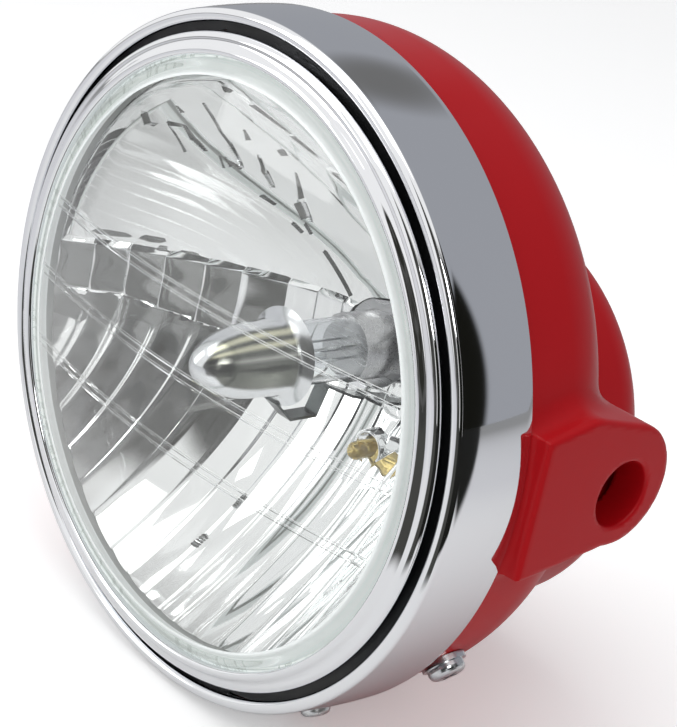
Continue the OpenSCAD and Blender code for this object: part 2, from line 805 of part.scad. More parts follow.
// Pan-head screw along +X from its seat, with a cross recess
module pan_screw(d, length) {
    head_r = d * 0.95;
    head_h = d * 0.58;
    difference() {
        union() {
            translate([-length, 0, 0]) rotate([0, 90, 0]) cylinder(r = d / 2, h = length, $fn = 48);
            rotate([0, 90, 0])
                rotate_extrude($fn = 48)
                    polygon(concat([[0, 0], [head_r, 0]],
                        arc([head_r - head_h * 0.6, head_h * 0.4], head_h * 0.6, 0, 90, 6), [[0, head_h]]));
        }
        for (a = [0, 90])
            rotate([a, 0, 0])
                translate([head_h - 1.1, -head_r * 0.55, -d * 0.09])
                    cube([2, head_r * 1.1, d * 0.18]);
    }
}
washer_t = 1.0;
washer_lift = 0.45;
module rim_screws() {
    color("lightsteelblue")
        for (s = [-1, 1])
            at_angle(-90 + s * (90 - rim_screw_angle), rim_screw_depth)
                translate([shell_r + washer_lift + washer_t, 0, 0])
                    pan_screw(rim_screw_d, 2.2 * rim_screw_d);
}
module rim_washers() {
    color("lightsteelblue")
        for (s = [-1, 1])
            at_angle(-90 + s * (90 - rim_screw_angle), rim_screw_depth)
                difference() {
                    radial(rim_screw_d * 1.15, shell_r + 0.02, shell_r + washer_lift + washer_t);
                    radial(rim_screw_d / 2 + 0.15, shell_r - past, shell_r + 5);
                    // The shell's curve, so that the washer beds on the paint
                    rotate([-90, 0, 0])
                        cylinder(r = shell_r, h = 4 * rim_screw_d, center = true, $fn = round_fn);
                }
}
side_seat = rim_r;
module side_screws() {
    color("lightsteelblue")
        for (s = [-1, 1])
            at_angle(-90 + s * (90 - side_screw_angle), side_screw_depth)
                translate([side_seat, 0, 0])
                    pan_screw(side_screw_d, 2 * side_screw_d);
}
side_nut_h = 0.75 * side_screw_d;
side_nut_w = 1.75 * side_screw_d;
module side_screw_nuts() {
    color("lightsteelblue")
        for (s = [-1, 1])
            at_angle(-90 + s * (90 - side_screw_angle), side_screw_depth)
                translate([shell_in_r - clear - side_nut_h, 0, 0])
                    difference() {
                        translate([side_nut_h / 2, 0, 0])
                            cube([side_nut_h, side_nut_w, side_nut_w], center = true);
                        rotate([0, 90, 0])
                            translate([0, 0, -past])
                                cylinder(r = side_screw_d / 2, h = side_nut_h + 2 * past, $fn = 48);
                    }
}

// Grommet in the cable hole, with a groove that holds the shell's wall
grommet_lip = 3;
grommet_t = 4;
module cable_grommet() {
    color([0.1, 0.1, 0.11])
        translate([0, 0, -back_drop - cable_drop])
            turned([
                [grommet_r, back_end - shell_wall - 2],
                [cable_hole_r + grommet_lip, back_end - shell_wall - 2],
                [cable_hole_r + grommet_lip, back_end - shell_wall], [cable_hole_r, back_end - shell_wall],
                [cable_hole_r, back_end], [cable_hole_r + grommet_lip, back_end],
                [cable_hole_r + grommet_lip - 0.5, back_end + grommet_t * 0.6],
                [grommet_r + 1.5, back_end + grommet_t], [grommet_r, back_end + grommet_t - 0.6]
            ]);
}

housing();
outer_rim();
rim_gasket();
inner_ring();
carrier_ring();
lens();
lens_seal();
reflector();
shield_cap();
shield_rivet();
bulb_glass();
bulb_filaments();
bulb_base();
bulb_terminals();
bulb_clip();
clip_screw();
dust_boot();
position_bulb();
position_holder();
rim_brackets();
bracket_rivets();
bracket_nuts();
top_hook();
rim_screws();
rim_washers();
side_screws();
side_screw_nuts();
cable_grommet();
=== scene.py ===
import bpy
import math
import numpy as np
from mathutils import Matrix, Vector


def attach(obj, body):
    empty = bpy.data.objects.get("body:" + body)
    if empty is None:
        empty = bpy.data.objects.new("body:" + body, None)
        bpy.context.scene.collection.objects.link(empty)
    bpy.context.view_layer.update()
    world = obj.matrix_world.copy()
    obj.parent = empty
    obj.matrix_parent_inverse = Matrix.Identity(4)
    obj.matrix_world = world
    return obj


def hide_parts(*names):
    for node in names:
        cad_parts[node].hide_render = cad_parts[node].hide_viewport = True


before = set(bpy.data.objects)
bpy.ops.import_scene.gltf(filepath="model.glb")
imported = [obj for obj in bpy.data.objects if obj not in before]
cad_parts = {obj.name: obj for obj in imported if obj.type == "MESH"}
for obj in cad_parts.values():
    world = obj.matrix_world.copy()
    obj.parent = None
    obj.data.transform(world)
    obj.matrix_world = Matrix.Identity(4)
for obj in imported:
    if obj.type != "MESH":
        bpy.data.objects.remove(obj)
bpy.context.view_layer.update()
print("frame loaded")

mm = 0.001
rimRear = -31.5  # y of the rim's rear edge in mm; depths below are counted from it
sameSpot = 1e-7  # metres; points of an outline nearer than this are one
gridSpot = 1e-6  # the same for the points of a grid


def onlySelect(*things):
    for other in list(bpy.context.selected_objects):
        other.select_set(False)
    for thing in things:
        thing.select_set(True)
    if things:
        bpy.context.view_layer.objects.active = things[0]


def editAll():
    bpy.ops.object.mode_set(mode="EDIT")
    bpy.ops.mesh.select_all(action="SELECT")


def leaveEdit():
    bpy.ops.object.mode_set(mode="OBJECT")


def settle(piece, angle=35):
    # place goes into the mesh, then smooth shading that keeps the sharp edges
    onlySelect(piece)
    bpy.ops.object.transform_apply(location=True, rotation=True, scale=True)
    bpy.ops.object.shade_smooth_by_angle(angle=math.radians(angle))
    return piece


def applyModifiers(piece):
    onlySelect(piece)
    for modifier in list(piece.modifiers):
        bpy.ops.object.modifier_apply(modifier=modifier.name)


def arcPoints(centre, radius, start, end, count):
    # points on an arc in the (radius, depth) plane, angles in degrees
    points = []
    for i in range(count + 1):
        a = math.radians(start + (end - start) * i / count)
        points.append((centre[0] + radius * math.cos(a), centre[1] + radius * math.sin(a)))
    return points


def turnedPiece(name, outline, steps=192, closed=True, centre=(0, 0), angle=35):
    # an outline of (radius, depth) points in mm, extruded point by point and spun about Y
    onlySelect()
    x0, z0 = centre
    first = outline[0]
    spot = ((first[0] + x0) * mm, (first[1] + rimRear) * mm, z0 * mm)
    bpy.ops.mesh.primitive_plane_add(size=mm, location=spot)
    piece = bpy.context.active_object
    piece.name = name
    editAll()
    bpy.ops.mesh.merge(type="CENTER")
    last = first
    for point in list(outline[1:]) + ([first] if closed else []):
        step = ((point[0] - last[0]) * mm, (point[1] - last[1]) * mm, 0)
        bpy.ops.mesh.extrude_region_move(TRANSFORM_OT_translate={"value": step})
        last = point
    bpy.ops.mesh.select_all(action="SELECT")
    bpy.ops.mesh.remove_doubles(threshold=sameSpot)
    bpy.ops.mesh.spin(steps=steps, angle=2 * math.pi, center=(x0 * mm, 0, z0 * mm), axis=(0, 1, 0))
    bpy.ops.mesh.select_all(action="SELECT")
    bpy.ops.mesh.remove_doubles(threshold=sameSpot)
    bpy.ops.mesh.normals_make_consistent(inside=False)
    leaveEdit()
    return settle(piece, angle)


def joined(name, pieces):
    onlySelect(*pieces)
    bpy.ops.object.join()
    piece = bpy.context.active_object
    piece.name = name
    return piece


def finished(piece, slotName, material, *nodes):
    piece.data.materials.clear()
    piece.data.materials.append(material)
    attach(piece, "root")
    if nodes:
        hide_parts(*nodes)
    return piece


def newGroup(name, inputs, outputs):
    group = bpy.data.node_groups.new(name, "ShaderNodeTree")
    for label, value in inputs.items():
        socket = group.interface.new_socket(name=label, in_out="INPUT", socket_type="NodeSocketFloat")
        socket.default_value = value
    for label in outputs:
        group.interface.new_socket(name=label, in_out="OUTPUT", socket_type="NodeSocketFloat")
    entry = group.nodes.new("NodeGroupInput")
    leave = group.nodes.new("NodeGroupOutput")
    return group, entry, leave


def setInputs(node, values):
    for label, value in values.items():
        node.inputs[label].default_value = value


def newNode(tree, kind, values=None):
    node = tree.nodes.new("ShaderNode" + kind)
    setInputs(node, values or {})
    return node


def finishGroup():
    # smudges for roughness and a fine height, both on object coordinates
    inputs = {"Smudge Scale": 30, "Smudge Low": 0.03, "Smudge High": 0.08, "Grain Scale": 900}
    group, entry, leave = newGroup("surfaceFinish", inputs, ["Roughness", "Height", "Mask"])
    links = group.links
    place = newNode(group, "TexCoord")
    smudge = newNode(group, "TexNoise", {"Detail": 4})
    spread = newNode(group, "MapRange", {"From Min": 0.35, "From Max": 0.68})
    grain = newNode(group, "TexNoise", {"Detail": 2})
    links.new(place.outputs["Object"], smudge.inputs["Vector"])
    links.new(place.outputs["Object"], grain.inputs["Vector"])
    links.new(entry.outputs["Smudge Scale"], smudge.inputs["Scale"])
    links.new(entry.outputs["Grain Scale"], grain.inputs["Scale"])
    links.new(smudge.outputs["Fac"], spread.inputs["Value"])
    links.new(entry.outputs["Smudge Low"], spread.inputs["To Min"])
    links.new(entry.outputs["Smudge High"], spread.inputs["To Max"])
    links.new(spread.outputs["Result"], leave.inputs["Roughness"])
    links.new(grain.outputs["Fac"], leave.inputs["Height"])
    links.new(smudge.outputs["Fac"], leave.inputs["Mask"])
    return group


surfaceFinish = finishGroup()


def addFinish(tree, shader, smudge, grain, bump, height):
    # smudge holds the scale of the smudges and their lowest and highest roughness
    finish = newNode(tree, "Group")
    finish.node_tree = surfaceFinish
    setInputs(finish, dict(zip(("Smudge Scale", "Smudge Low", "Smudge High"), smudge)))
    setInputs(finish, {"Grain Scale": grain})
    tree.links.new(finish.outputs["Roughness"], shader.inputs["Roughness"])
    addRelief(tree, shader, finish.outputs["Height"], bump, height)
    return finish


def addRelief(tree, shader, source, strength, height):
    relief = newNode(tree, "Bump", {"Strength": strength, "Distance": height})
    tree.links.new(source, relief.inputs["Height"])
    tree.links.new(relief.outputs["Normal"], shader.inputs["Normal"])


def addNoise(tree, vector, scale, detail=2):
    noise = newNode(tree, "TexNoise", {"Scale": scale, "Detail": detail})
    tree.links.new(vector, noise.inputs["Vector"])
    return noise.outputs["Fac"]


def objectPlace(tree, source="Object"):
    # the point in the object's own frame, or the direction of a ray, and its parts
    place = newNode(tree, "TexCoord").outputs[source]
    split = newNode(tree, "SeparateXYZ")
    tree.links.new(place, split.inputs["Vector"])
    return place, split


def smoothMask(tree, source, low, high):
    node = newNode(tree, "MapRange", {"From Min": low, "From Max": high})
    node.interpolation_type = "SMOOTHSTEP"
    tree.links.new(source, node.inputs["Value"])
    return node.outputs["Result"]


def mixed(tree, factor, a, b):
    node = newNode(tree, "Mix")
    node.data_type = "RGBA"
    for label, value in (("A", a), ("B", b)):
        if isinstance(value, tuple):
            node.inputs[label].default_value = (*value, 1)
        else:
            tree.links.new(value, node.inputs[label])
    tree.links.new(factor, node.inputs["Factor"])
    return node.outputs["Result"]


def maths(tree, operation, *values):
    node = newNode(tree, "Math")
    node.operation = operation
    for i, value in enumerate(values):
        if isinstance(value, (int, float)):
            node.inputs[i].default_value = value
        else:
            tree.links.new(value, node.inputs[i])
    return node.outputs[0]


def lengthOf(tree, vector):
    node = newNode(tree, "VectorMath")
    node.operation = "LENGTH"
    tree.links.new(vector, node.inputs[0])
    return node.outputs["Value"]


def times(tree, first, *others):
    for other in others:
        first = maths(tree, "MULTIPLY", first, other)
    return first


metal = {"Metallic": 1.0}


def glass(bend, roughness=0.0, clear=1.0):
    return {"Transmission Weight": clear, "IOR": bend, "Roughness": roughness}


# every look: finish is (smudges, grain, strength and height of the relief),
# and tint is the two colours that the surface drifts between
looks = {
    "red": {"name": "redPaint", "colour": (0.47, 0.004, 0.008),
            "inputs": {"Coat Weight": 0.22, "Coat Roughness": 0.06, "Coat IOR": 1.4,
                       "Specular IOR Level": 0.12},
            "finish": ((14, 0.34, 0.46), 700, 0.06, 0.00003),
            "tint": ((0.455, 0.003, 0.007), (0.485, 0.0042, 0.0085))},
    "chrome": {"name": "chromePlate", "colour": (0.86, 0.87, 0.89), "inputs": metal,
               "finish": ((22, 0.02, 0.06), 260, 0.02, 0.00002),
               "tint": ((0.84, 0.85, 0.875), (0.88, 0.885, 0.90))},
    "mirror": {"name": "mirrorCoat", "colour": (0.93, 0.935, 0.94), "inputs": metal,
               "finish": ((40, 0.015, 0.05), 120, 0.12, 0.00003),
               "tint": ((0.92, 0.925, 0.93), (0.95, 0.955, 0.955))},
    "black": {"name": "blackPaint", "colour": (0.008, 0.008, 0.009),
              "finish": ((60, 0.35, 0.5), 1500, 0.1, 0.00002)},
    "rubber": {"name": "blackRubber", "colour": (0.018, 0.018, 0.019),
               "finish": ((80, 0.6, 0.8), 1400, 0.25, 0.00005),
               "tint": ((0.014, 0.014, 0.015), (0.03, 0.03, 0.031))},
    "seal": {"name": "paleSeal", "colour": (0.62, 0.64, 0.62),
             "finish": ((80, 0.45, 0.6), 900, 0.1, 0.00003),
             "tint": ((0.58, 0.6, 0.58), (0.66, 0.68, 0.66))},
    "lens": {"name": "lensClear", "colour": (0.985, 0.995, 0.99),
             "inputs": glass(1.47), "waves": (26, 0.00006)},
    "bulbGlass": {"name": "bulbClear", "colour": (0.97, 0.985, 0.99),
                  "inputs": glass(1.45), "waves": (60, 0.00001)},
    "bulbMetal": {"name": "bulbMetal", "colour": (0.55, 0.55, 0.56), "inputs": metal, "brushed": 0.28},
    "darkSteel": {"name": "darkSteel", "colour": (0.09, 0.10, 0.10), "inputs": metal,
                  "finish": ((60, 0.22, 0.4), 900, 0.1, 0.00002)},
    "brass": {"name": "brassBright", "colour": (0.72, 0.52, 0.2), "inputs": metal,
              "finish": ((90, 0.12, 0.3), 1200, 0.1, 0.00002)},
    "zinc": {"name": "zincPlate", "colour": (0.68, 0.70, 0.74), "inputs": metal,
             "finish": ((160, 0.16, 0.34), 1600, 0.12, 0.00002),
             "tint": ((0.60, 0.63, 0.70), (0.78, 0.77, 0.72))},
    # the glass edge's glow is painted light on an opaque border; its rings and greenish tint are its own look
    "glassEdge": {"name": "glassEdge", "colour": (0.6, 0.64, 0.6), "inputs": {"Roughness": 0.35},
                  "rings": {"low": (0.6, 0.63, 0.62), "high": (0.93, 0.96, 0.96), "scale": 900,
                            "glow": 0.52}},
    "capChrome": {"name": "capChrome", "colour": (0.86, 0.87, 0.89), "inputs": metal,
                  "finish": ((50, 0.15, 0.24), 400, 0.02, 0.00002),
                  # the cap's dark patch, its lighter middle and its pale streaks are a painted reflection
                  "paintedReflection": {"turn": 0.44, "half": 0.9, "start": -54.4, "round": 5.0, "end": -30.5,
                            "dark": (0.17, 0.175, 0.155), "middle": (0.66, 0.66, 0.60),
                            "reflectedGlint": (0.84, 0.82, 0.62), "streaks": ((0.36, 0.07), (0.68, 0.09))}},
    "amberGlass": {"name": "amberGlass", "colour": (1.0, 0.80, 0.34),
                   "inputs": glass(1.45, 0.05, 0.7), "waves": (90, 0.00001)},
}


def makeMaterial(look):
    material = bpy.data.materials.new(look["name"])
    material.use_nodes = True
    tree = material.node_tree
    shader = tree.nodes["Principled BSDF"]
    setInputs(shader, {"Base Color": (*look["colour"], 1)})
    setInputs(shader, look.get("inputs", {}))
    if "finish" in look:
        finish = addFinish(tree, shader, *look["finish"])
    if "tint" in look:
        # slow colour change that follows the smudges
        shade = mixed(tree, finish.outputs["Mask"], *look["tint"])
        tree.links.new(shade, shader.inputs["Base Color"])
    if "waves" in look:
        addGlassWaves(tree, shader, *look["waves"])
    if "brushed" in look:
        addBrushed(tree, shader, look["brushed"])
    if "rings" in look:
        addRings(tree, shader, look["rings"])
    if "paintedReflection" in look:
        addPaintedReflection(tree, shader, look["colour"], look["paintedReflection"])
    return material


def addRings(tree, shader, rings):
    # fine rings about the lamp's axis, as seen in the thick glass border; the emission is a painted glow that
    # lights the opaque border
    place, _ = objectPlace(tree)
    flat = newNode(tree, "VectorMath", {1: (1, 0.6, 1)})
    flat.operation = "MULTIPLY"
    lines = newNode(tree, "TexNoise", {"Scale": rings["scale"], "Detail": 3})
    lines.noise_dimensions = "1D"
    tree.links.new(place, flat.inputs[0])
    tree.links.new(lengthOf(tree, flat.outputs["Vector"]), lines.inputs["W"])
    shade = mixed(tree, smoothMask(tree, lines.outputs["Fac"], 0.3, 0.7), rings["low"], rings["high"])
    tree.links.new(shade, shader.inputs["Base Color"])
    tree.links.new(shade, shader.inputs["Emission Color"])
    shader.inputs["Emission Strength"].default_value = rings["glow"]


def bandMask(tree, value, centre, half, soft):
    # 1 within half of the centre, softly 0 outside
    away = maths(tree, "ABSOLUTE", maths(tree, "SUBTRACT", value, centre))
    return smoothMask(tree, away, half + soft, half - soft)


def addPaintedReflection(tree, shader, plain, paintedReflection):
    # painted reflection on the cap's right side: a dark patch that stands in for the dark room the chrome
    # mirrors, with painted pale glint streaks along it
    # turns are in radians, places along the axis in mm
    _, split = objectPlace(tree)
    turn = maths(tree, "ARCTAN2", split.outputs["Z"], split.outputs["X"])
    along = times(tree, split.outputs["Y"], 1 / mm)
    away = maths(tree, "ABSOLUTE", maths(tree, "SUBTRACT", turn, paintedReflection["turn"]))
    bulge = times(tree, paintedReflection["round"], maths(tree, "POWER", away, 2.0))
    start = maths(tree, "ADD", paintedReflection["start"], bulge)
    mask = times(tree, bandMask(tree, turn, paintedReflection["turn"], paintedReflection["half"], 0.09),
                 smoothMask(tree, maths(tree, "SUBTRACT", along, start), -0.7, 0.9),
                 smoothMask(tree, along, paintedReflection["end"] + 1.2, paintedReflection["end"] - 0.4))
    middle = bandMask(tree, turn, paintedReflection["turn"] + 0.02, 0.04, 0.12)
    shade = mixed(tree, middle, paintedReflection["dark"], paintedReflection["middle"])
    for at, width in paintedReflection["streaks"]:
        streak = bandMask(tree, turn, paintedReflection["turn"] + at, width, 0.08)
        shade = mixed(tree, streak, shade, paintedReflection["reflectedGlint"])
    tree.links.new(mixed(tree, mask, plain, shade), shader.inputs["Base Color"])


def addGlassWaves(tree, shader, scale, height):
    # the faint waves of moulded glass
    waves = addNoise(tree, objectPlace(tree)[0], scale, 1)
    addRelief(tree, shader, waves, 0.35, height)


def addBrushed(tree, shader, roughness):
    stretch = newNode(tree, "Mapping", {"Scale": (1, 40, 40)})
    tree.links.new(objectPlace(tree)[0], stretch.inputs["Vector"])
    lines = addNoise(tree, stretch.outputs["Vector"], 60)
    spread = newNode(tree, "MapRange", {"To Min": roughness - 0.08, "To Max": roughness + 0.1})
    tree.links.new(lines, spread.inputs["Value"])
    tree.links.new(spread.outputs["Result"], shader.inputs["Roughness"])
    addRelief(tree, shader, lines, 0.2, 0.00002)


materials = {key: makeMaterial(look) for key, look in looks.items()}
print("materials made")


cameraSetup = {
    "place": (0.31243, -0.32109, 0.16314),
    "right": (0.6436, 0.7421, 0.1870),
    "up": (-0.3867, 0.1045, 0.9163),
    "back": (0.6605, -0.6620, 0.3543),
    "lens": 89.13,
    "sensor": 36,
    "clip": (0.01, 50),
}


def makeCamera():
    data = bpy.data.cameras.new("camera")
    data.sensor_width = cameraSetup["sensor"]
    data.lens = cameraSetup["lens"]
    data.clip_start, data.clip_end = cameraSetup["clip"]
    item = bpy.data.objects.new("camera", data)
    bpy.context.scene.collection.objects.link(item)
    axes = Matrix((cameraSetup["right"], cameraSetup["up"], cameraSetup["back"])).transposed()
    item.matrix_world = Matrix.Translation(cameraSetup["place"]) @ axes.to_4x4()
    bpy.context.scene.camera = item


makeCamera()

# greys of what the lamp is in the middle of; azimuths in degrees from +X towards +Y, reaches in metres
studio = {
    "front": 0.95, "rear": 0.36, "patch": 0.17, "patchTo": (-0.33, 0.6, 0.73),
    "room": 0.008, "roomFrom": -30, "roomTo": (0.569, -0.822, 0.1), "door": (11, 14),
    "viewer": 0.06, "viewerFrom": -78, "viewerTo": -37,
}

floorSheet = {
    "drop": -0.0885, "size": 12, "lit": 0.92, "near": 0.85, "far": 0.74, "farthest": 0.45, "glow": 0.3,
    # beyond these reaches the floor shows painted shade to the lamp's gloss
    "shadeRadius": 0.18, "shadeFrom": -68, "shadeTo": -30,
    "sideRadius": 0.2, "sideFrom": -36, "sideLine": (0.5534, -0.8329, 0), "sideReach": 0.083,
}


def towards(tree, direction, vector):
    node = newNode(tree, "VectorMath", {1: Vector(direction).normalized()})
    node.operation = "DOT_PRODUCT"
    tree.links.new(vector, node.inputs[0])
    return node.outputs["Value"]


def grey(value, tint=(1, 1, 1)):
    return tuple(value * t for t in tint)


def sectorMask(tree, split, start, end, soft=4):
    # 1 where the azimuth, counted from +X towards +Y, lies between start and end degrees
    azimuth = maths(tree, "ARCTAN2", split.outputs["Y"], split.outputs["X"])
    a = smoothMask(tree, azimuth, math.radians(start - soft), math.radians(start + soft))
    b = smoothMask(tree, azimuth, math.radians(end + soft / 4), math.radians(end - soft / 4))
    return times(tree, a, b)


def makeWorld():
    world = bpy.data.worlds.new("studio")
    bpy.context.scene.world = world
    world.use_nodes = True
    tree = world.node_tree
    back = tree.nodes["Background"]
    ray, split = objectPlace(tree, "Generated")
    low = smoothMask(tree, split.outputs["Z"], 0.8, 0.7)
    # bright in front and overhead, a grey wall behind
    behind = smoothMask(tree, split.outputs["Y"], 0.12, 0.42)
    colour = mixed(tree, behind, grey(studio["front"]), grey(studio["rear"], (0.95, 0.98, 1.06)))
    patch = smoothMask(tree, towards(tree, studio["patchTo"], ray), 0.972, 1.0)
    colour = mixed(tree, patch, colour, grey(studio["patch"]))
    # the unlit stand and person in front of the lamp, uneven grey
    spots = smoothMask(tree, addNoise(tree, ray, 7, 3), 0.4, 0.62)
    dark = grey(studio["viewer"] * 0.45, (1, 1, 0.85))
    figure = mixed(tree, spots, dark, grey(studio["viewer"] * 1.7, (1, 1, 0.97)))
    stand = sectorMask(tree, split, studio["viewerFrom"], studio["viewerTo"], 2)
    colour = mixed(tree, times(tree, stand, low), colour, figure)
    # the dark room at the right with a lit door, cut off by the grey wall along an upright plane
    room = smoothMask(tree, towards(tree, studio["roomTo"], ray), -0.015, 0.015)
    shut = maths(tree, "SUBTRACT", 1.0, sectorMask(tree, split, *studio["door"], 1))
    room = times(tree, room, sectorMask(tree, split, studio["roomFrom"], 100), low, shut)
    colour = mixed(tree, room, colour, grey(studio["room"], (1, 1, 0.8)))
    seen = newNode(tree, "LightPath")
    colour = mixed(tree, seen.outputs["Is Camera Ray"], colour, (1, 1, 1))
    tree.links.new(colour, back.inputs["Color"])
    back.inputs["Strength"].default_value = 1.0


def makeFloor():
    sizes = floorSheet
    onlySelect()
    bpy.ops.mesh.primitive_plane_add(size=sizes["size"], location=(0, 0, sizes["drop"]))
    floor = bpy.context.active_object
    floor.name = "floor"
    material = bpy.data.materials.new("floorPale")
    material.use_nodes = True
    tree = material.node_tree
    shader = tree.nodes["Principled BSDF"]
    setInputs(shader, {"Roughness": 0.9, "Specular IOR Level": 0.1, "Emission Strength": 1.0})
    place, split = objectPlace(tree)
    far = lengthOf(tree, place)
    # painted shade, seen only by the lamp's gloss: beyond a reach the floor turns dark towards the stand and
    # the dark room
    outer, reach = sizes["shadeRadius"], sizes["sideReach"]
    edge = times(tree, smoothMask(tree, far, outer - 0.012, outer + 0.015),
                 sectorMask(tree, split, sizes["shadeFrom"], sizes["shadeTo"], 4))
    side = times(tree, smoothMask(tree, far, sizes["sideRadius"], sizes["sideRadius"] + 0.025),
                 sectorMask(tree, split, sizes["sideFrom"], 90, 3),
                 smoothMask(tree, towards(tree, sizes["sideLine"], place), reach, reach + 0.007))
    # painted shade seen only in reflections: the floor darkens with distance
    sheet = mixed(tree, smoothMask(tree, far, 0.2, 0.4), grey(sizes["near"]),
                  grey(sizes["far"], (0.985, 0.985, 1.01)))
    sheet = mixed(tree, smoothMask(tree, far, 0.75, 2.4), sheet, grey(sizes["farthest"]))
    sheet = mixed(tree, edge, sheet, grey(studio["viewer"], (1, 1, 0.9)))
    sheet = mixed(tree, side, sheet, grey(studio["room"], (1, 1, 0.8)))
    path = newNode(tree, "LightPath")
    mirrored = maths(tree, "MAXIMUM", path.outputs["Is Glossy Ray"], path.outputs["Is Transmission Ray"])
    tree.links.new(mixed(tree, mirrored, grey(sizes["lit"]), sheet), shader.inputs["Base Color"])
    glow = mixed(tree, path.outputs["Is Camera Ray"], (0, 0, 0), grey(sizes["glow"]))
    tree.links.new(glow, shader.inputs["Emission Color"])
    floor.data.materials.append(material)


lamps = [
    {"name": "overhead", "place": (-0.15, -0.25, 1.1), "target": (0, 0, 0), "size": (0.9, 0.9), "power": 3.2},
    {"name": "frontLeft", "place": (-0.7, -0.9, 0.5), "target": (0, 0, 0), "size": (0.5, 0.9), "power": 2.2},
    {"name": "rightFill", "place": (1.0, -0.55, 0.75), "target": (0.05, 0, 0), "size": (0.4, 0.4),
     "power": 2.6},
]


def makeLamps():
    for lamp in lamps:
        data = bpy.data.lights.new(lamp["name"], "AREA")
        data.shape = "RECTANGLE"
        data.size, data.size_y = lamp["size"]
        data.energy = lamp["power"]
        item = bpy.data.objects.new(lamp["name"], data)
        bpy.context.scene.collection.objects.link(item)
        item.location = lamp["place"]
        aim = Vector(lamp["target"]) - Vector(lamp["place"])
        item.rotation_euler = aim.to_track_quat("-Z", "Y").to_euler()


makeWorld()
makeFloor()
makeLamps()
print("studio ready")


# outer rim: rolled nose, shallow bulge, return to the gap
rim = {"radius": 88, "sheet": 0.9, "noseDepth": -19.9, "noseCentre": 84.9, "noseRadius": 1.7,
       "taper": 1.4, "innerRadius": 83.2, "seat": -14.5, "edgeBreak": 0.12, "noseStart": -12}


def makeOuterRim():
    def outer(d):
        return rim["radius"] - rim["taper"] * (d / rim["noseDepth"]) ** 2

    sheet, radius, start = rim["sheet"], rim["noseRadius"], rim["noseStart"]
    depths = [rim["noseDepth"] * i / 24 for i in range(25)]
    nose = (rim["noseCentre"], rim["noseDepth"])
    outline = [(rim["radius"] - rim["edgeBreak"], 0.0)] + [(outer(d), d) for d in depths[1:]]
    outline += arcPoints(nose, radius, start, -180, 26)
    outline += [(rim["innerRadius"], rim["seat"]), (rim["innerRadius"] + sheet, rim["seat"])]
    outline += arcPoints(nose, radius - sheet, -180, start, 10)
    outline += [(outer(d) - sheet, d) for d in reversed(depths)]
    piece = turnedPiece("outerRim", outline, 256)
    return finished(piece, "chrome", materials["chrome"], "outer_rim")


# inner ring that holds the lens
ring = {"outer": 81.15, "inner": 75.4, "front": -24.3, "fall": 1.4, "valley": 0.45, "sheet": 0.9,
        "seat": -14.5, "lensSeat": -21.5, "noseRadius": 1.9, "lipRadius": 1.1,
        "tabs": 4, "tabAngle": 20, "tabWidth": 12, "tabSheet": 0.6, "tabReach": 3.1}


def makeInnerRing():
    outer, inner, seat, sheet = ring["outer"], ring["inner"], ring["seat"], ring["sheet"]
    noseRadius, lipRadius = ring["noseRadius"], ring["lipRadius"]
    nose = (outer - noseRadius, ring["front"] + ring["fall"] + noseRadius)
    lip = (inner + lipRadius, ring["front"] + lipRadius)
    link = (lip[0] - nose[0], lip[1] - nose[1])
    spread = math.acos((noseRadius - lipRadius) / math.hypot(*link))
    lean = math.degrees(math.atan2(link[1], link[0]) + spread)
    outline = [(outer, seat)]
    outline += arcPoints(nose, noseRadius, 0, lean, 16)
    fold = arcPoints(lip, lipRadius, lean, -180, 16)
    start, end = outline[-1], fold[0]
    for i in range(1, 12):
        t = i / 12
        dip = ring["valley"] * math.sin(math.pi * t) ** 2
        outline.append((start[0] + (end[0] - start[0]) * t, start[1] + (end[1] - start[1]) * t + dip))
    outline += fold + [(inner, ring["lensSeat"]), (inner + sheet, ring["lensSeat"])]
    outline += arcPoints(lip, lipRadius - sheet, -180, lean, 5)
    outline += arcPoints(nose, noseRadius - sheet, lean, 0, 10)
    outline += [(outer - sheet, seat)]
    hoop = turnedPiece("innerRing", outline, 256)
    tabs = []
    for i in range(ring["tabs"]):
        onlySelect()
        bpy.ops.mesh.primitive_plane_add(size=1, location=(0, 0, 0))
        tab = bpy.context.active_object
        editAll()
        bpy.ops.transform.resize(value=(ring["tabWidth"] * mm, ring["tabSheet"] * mm, 1))
        bpy.ops.mesh.extrude_region_move(TRANSFORM_OT_translate={"value": (0, 0, ring["tabReach"] * mm)})
        leaveEdit()
        angle = math.radians(ring["tabAngle"] + 90 * i)
        out = Vector((math.cos(angle), 0, math.sin(angle)))
        across = Vector((-math.sin(angle), 0, math.cos(angle)))
        spot = out * (outer - 0.5) * mm + Vector((0, (seat - 1 + rimRear) * mm, 0))
        axes = Matrix((across, out, Vector((0, 1, 0)))).transposed()
        tab.matrix_world = Matrix.Translation(spot) @ axes.to_4x4()
        tabs.append(settle(tab))
    piece = joined("innerRing", [hoop] + tabs)
    return finished(piece, "chrome", materials["chrome"], "inner_ring")


# lens with three pairs of fine ribs
lensSizes = {"crown": 289, "wall": 3.0, "edge": 74.9, "shoulder": 3, "flange": 79.85, "front": -21.5,
             "back": -18.7, "corner": 0.3, "fillet": 2, "border": 70.3,
             "pitch": 19.65, "lineGap": 2.2, "lineWidth": 0.5, "lineHeight": 0.4, "lineSink": 0.2}


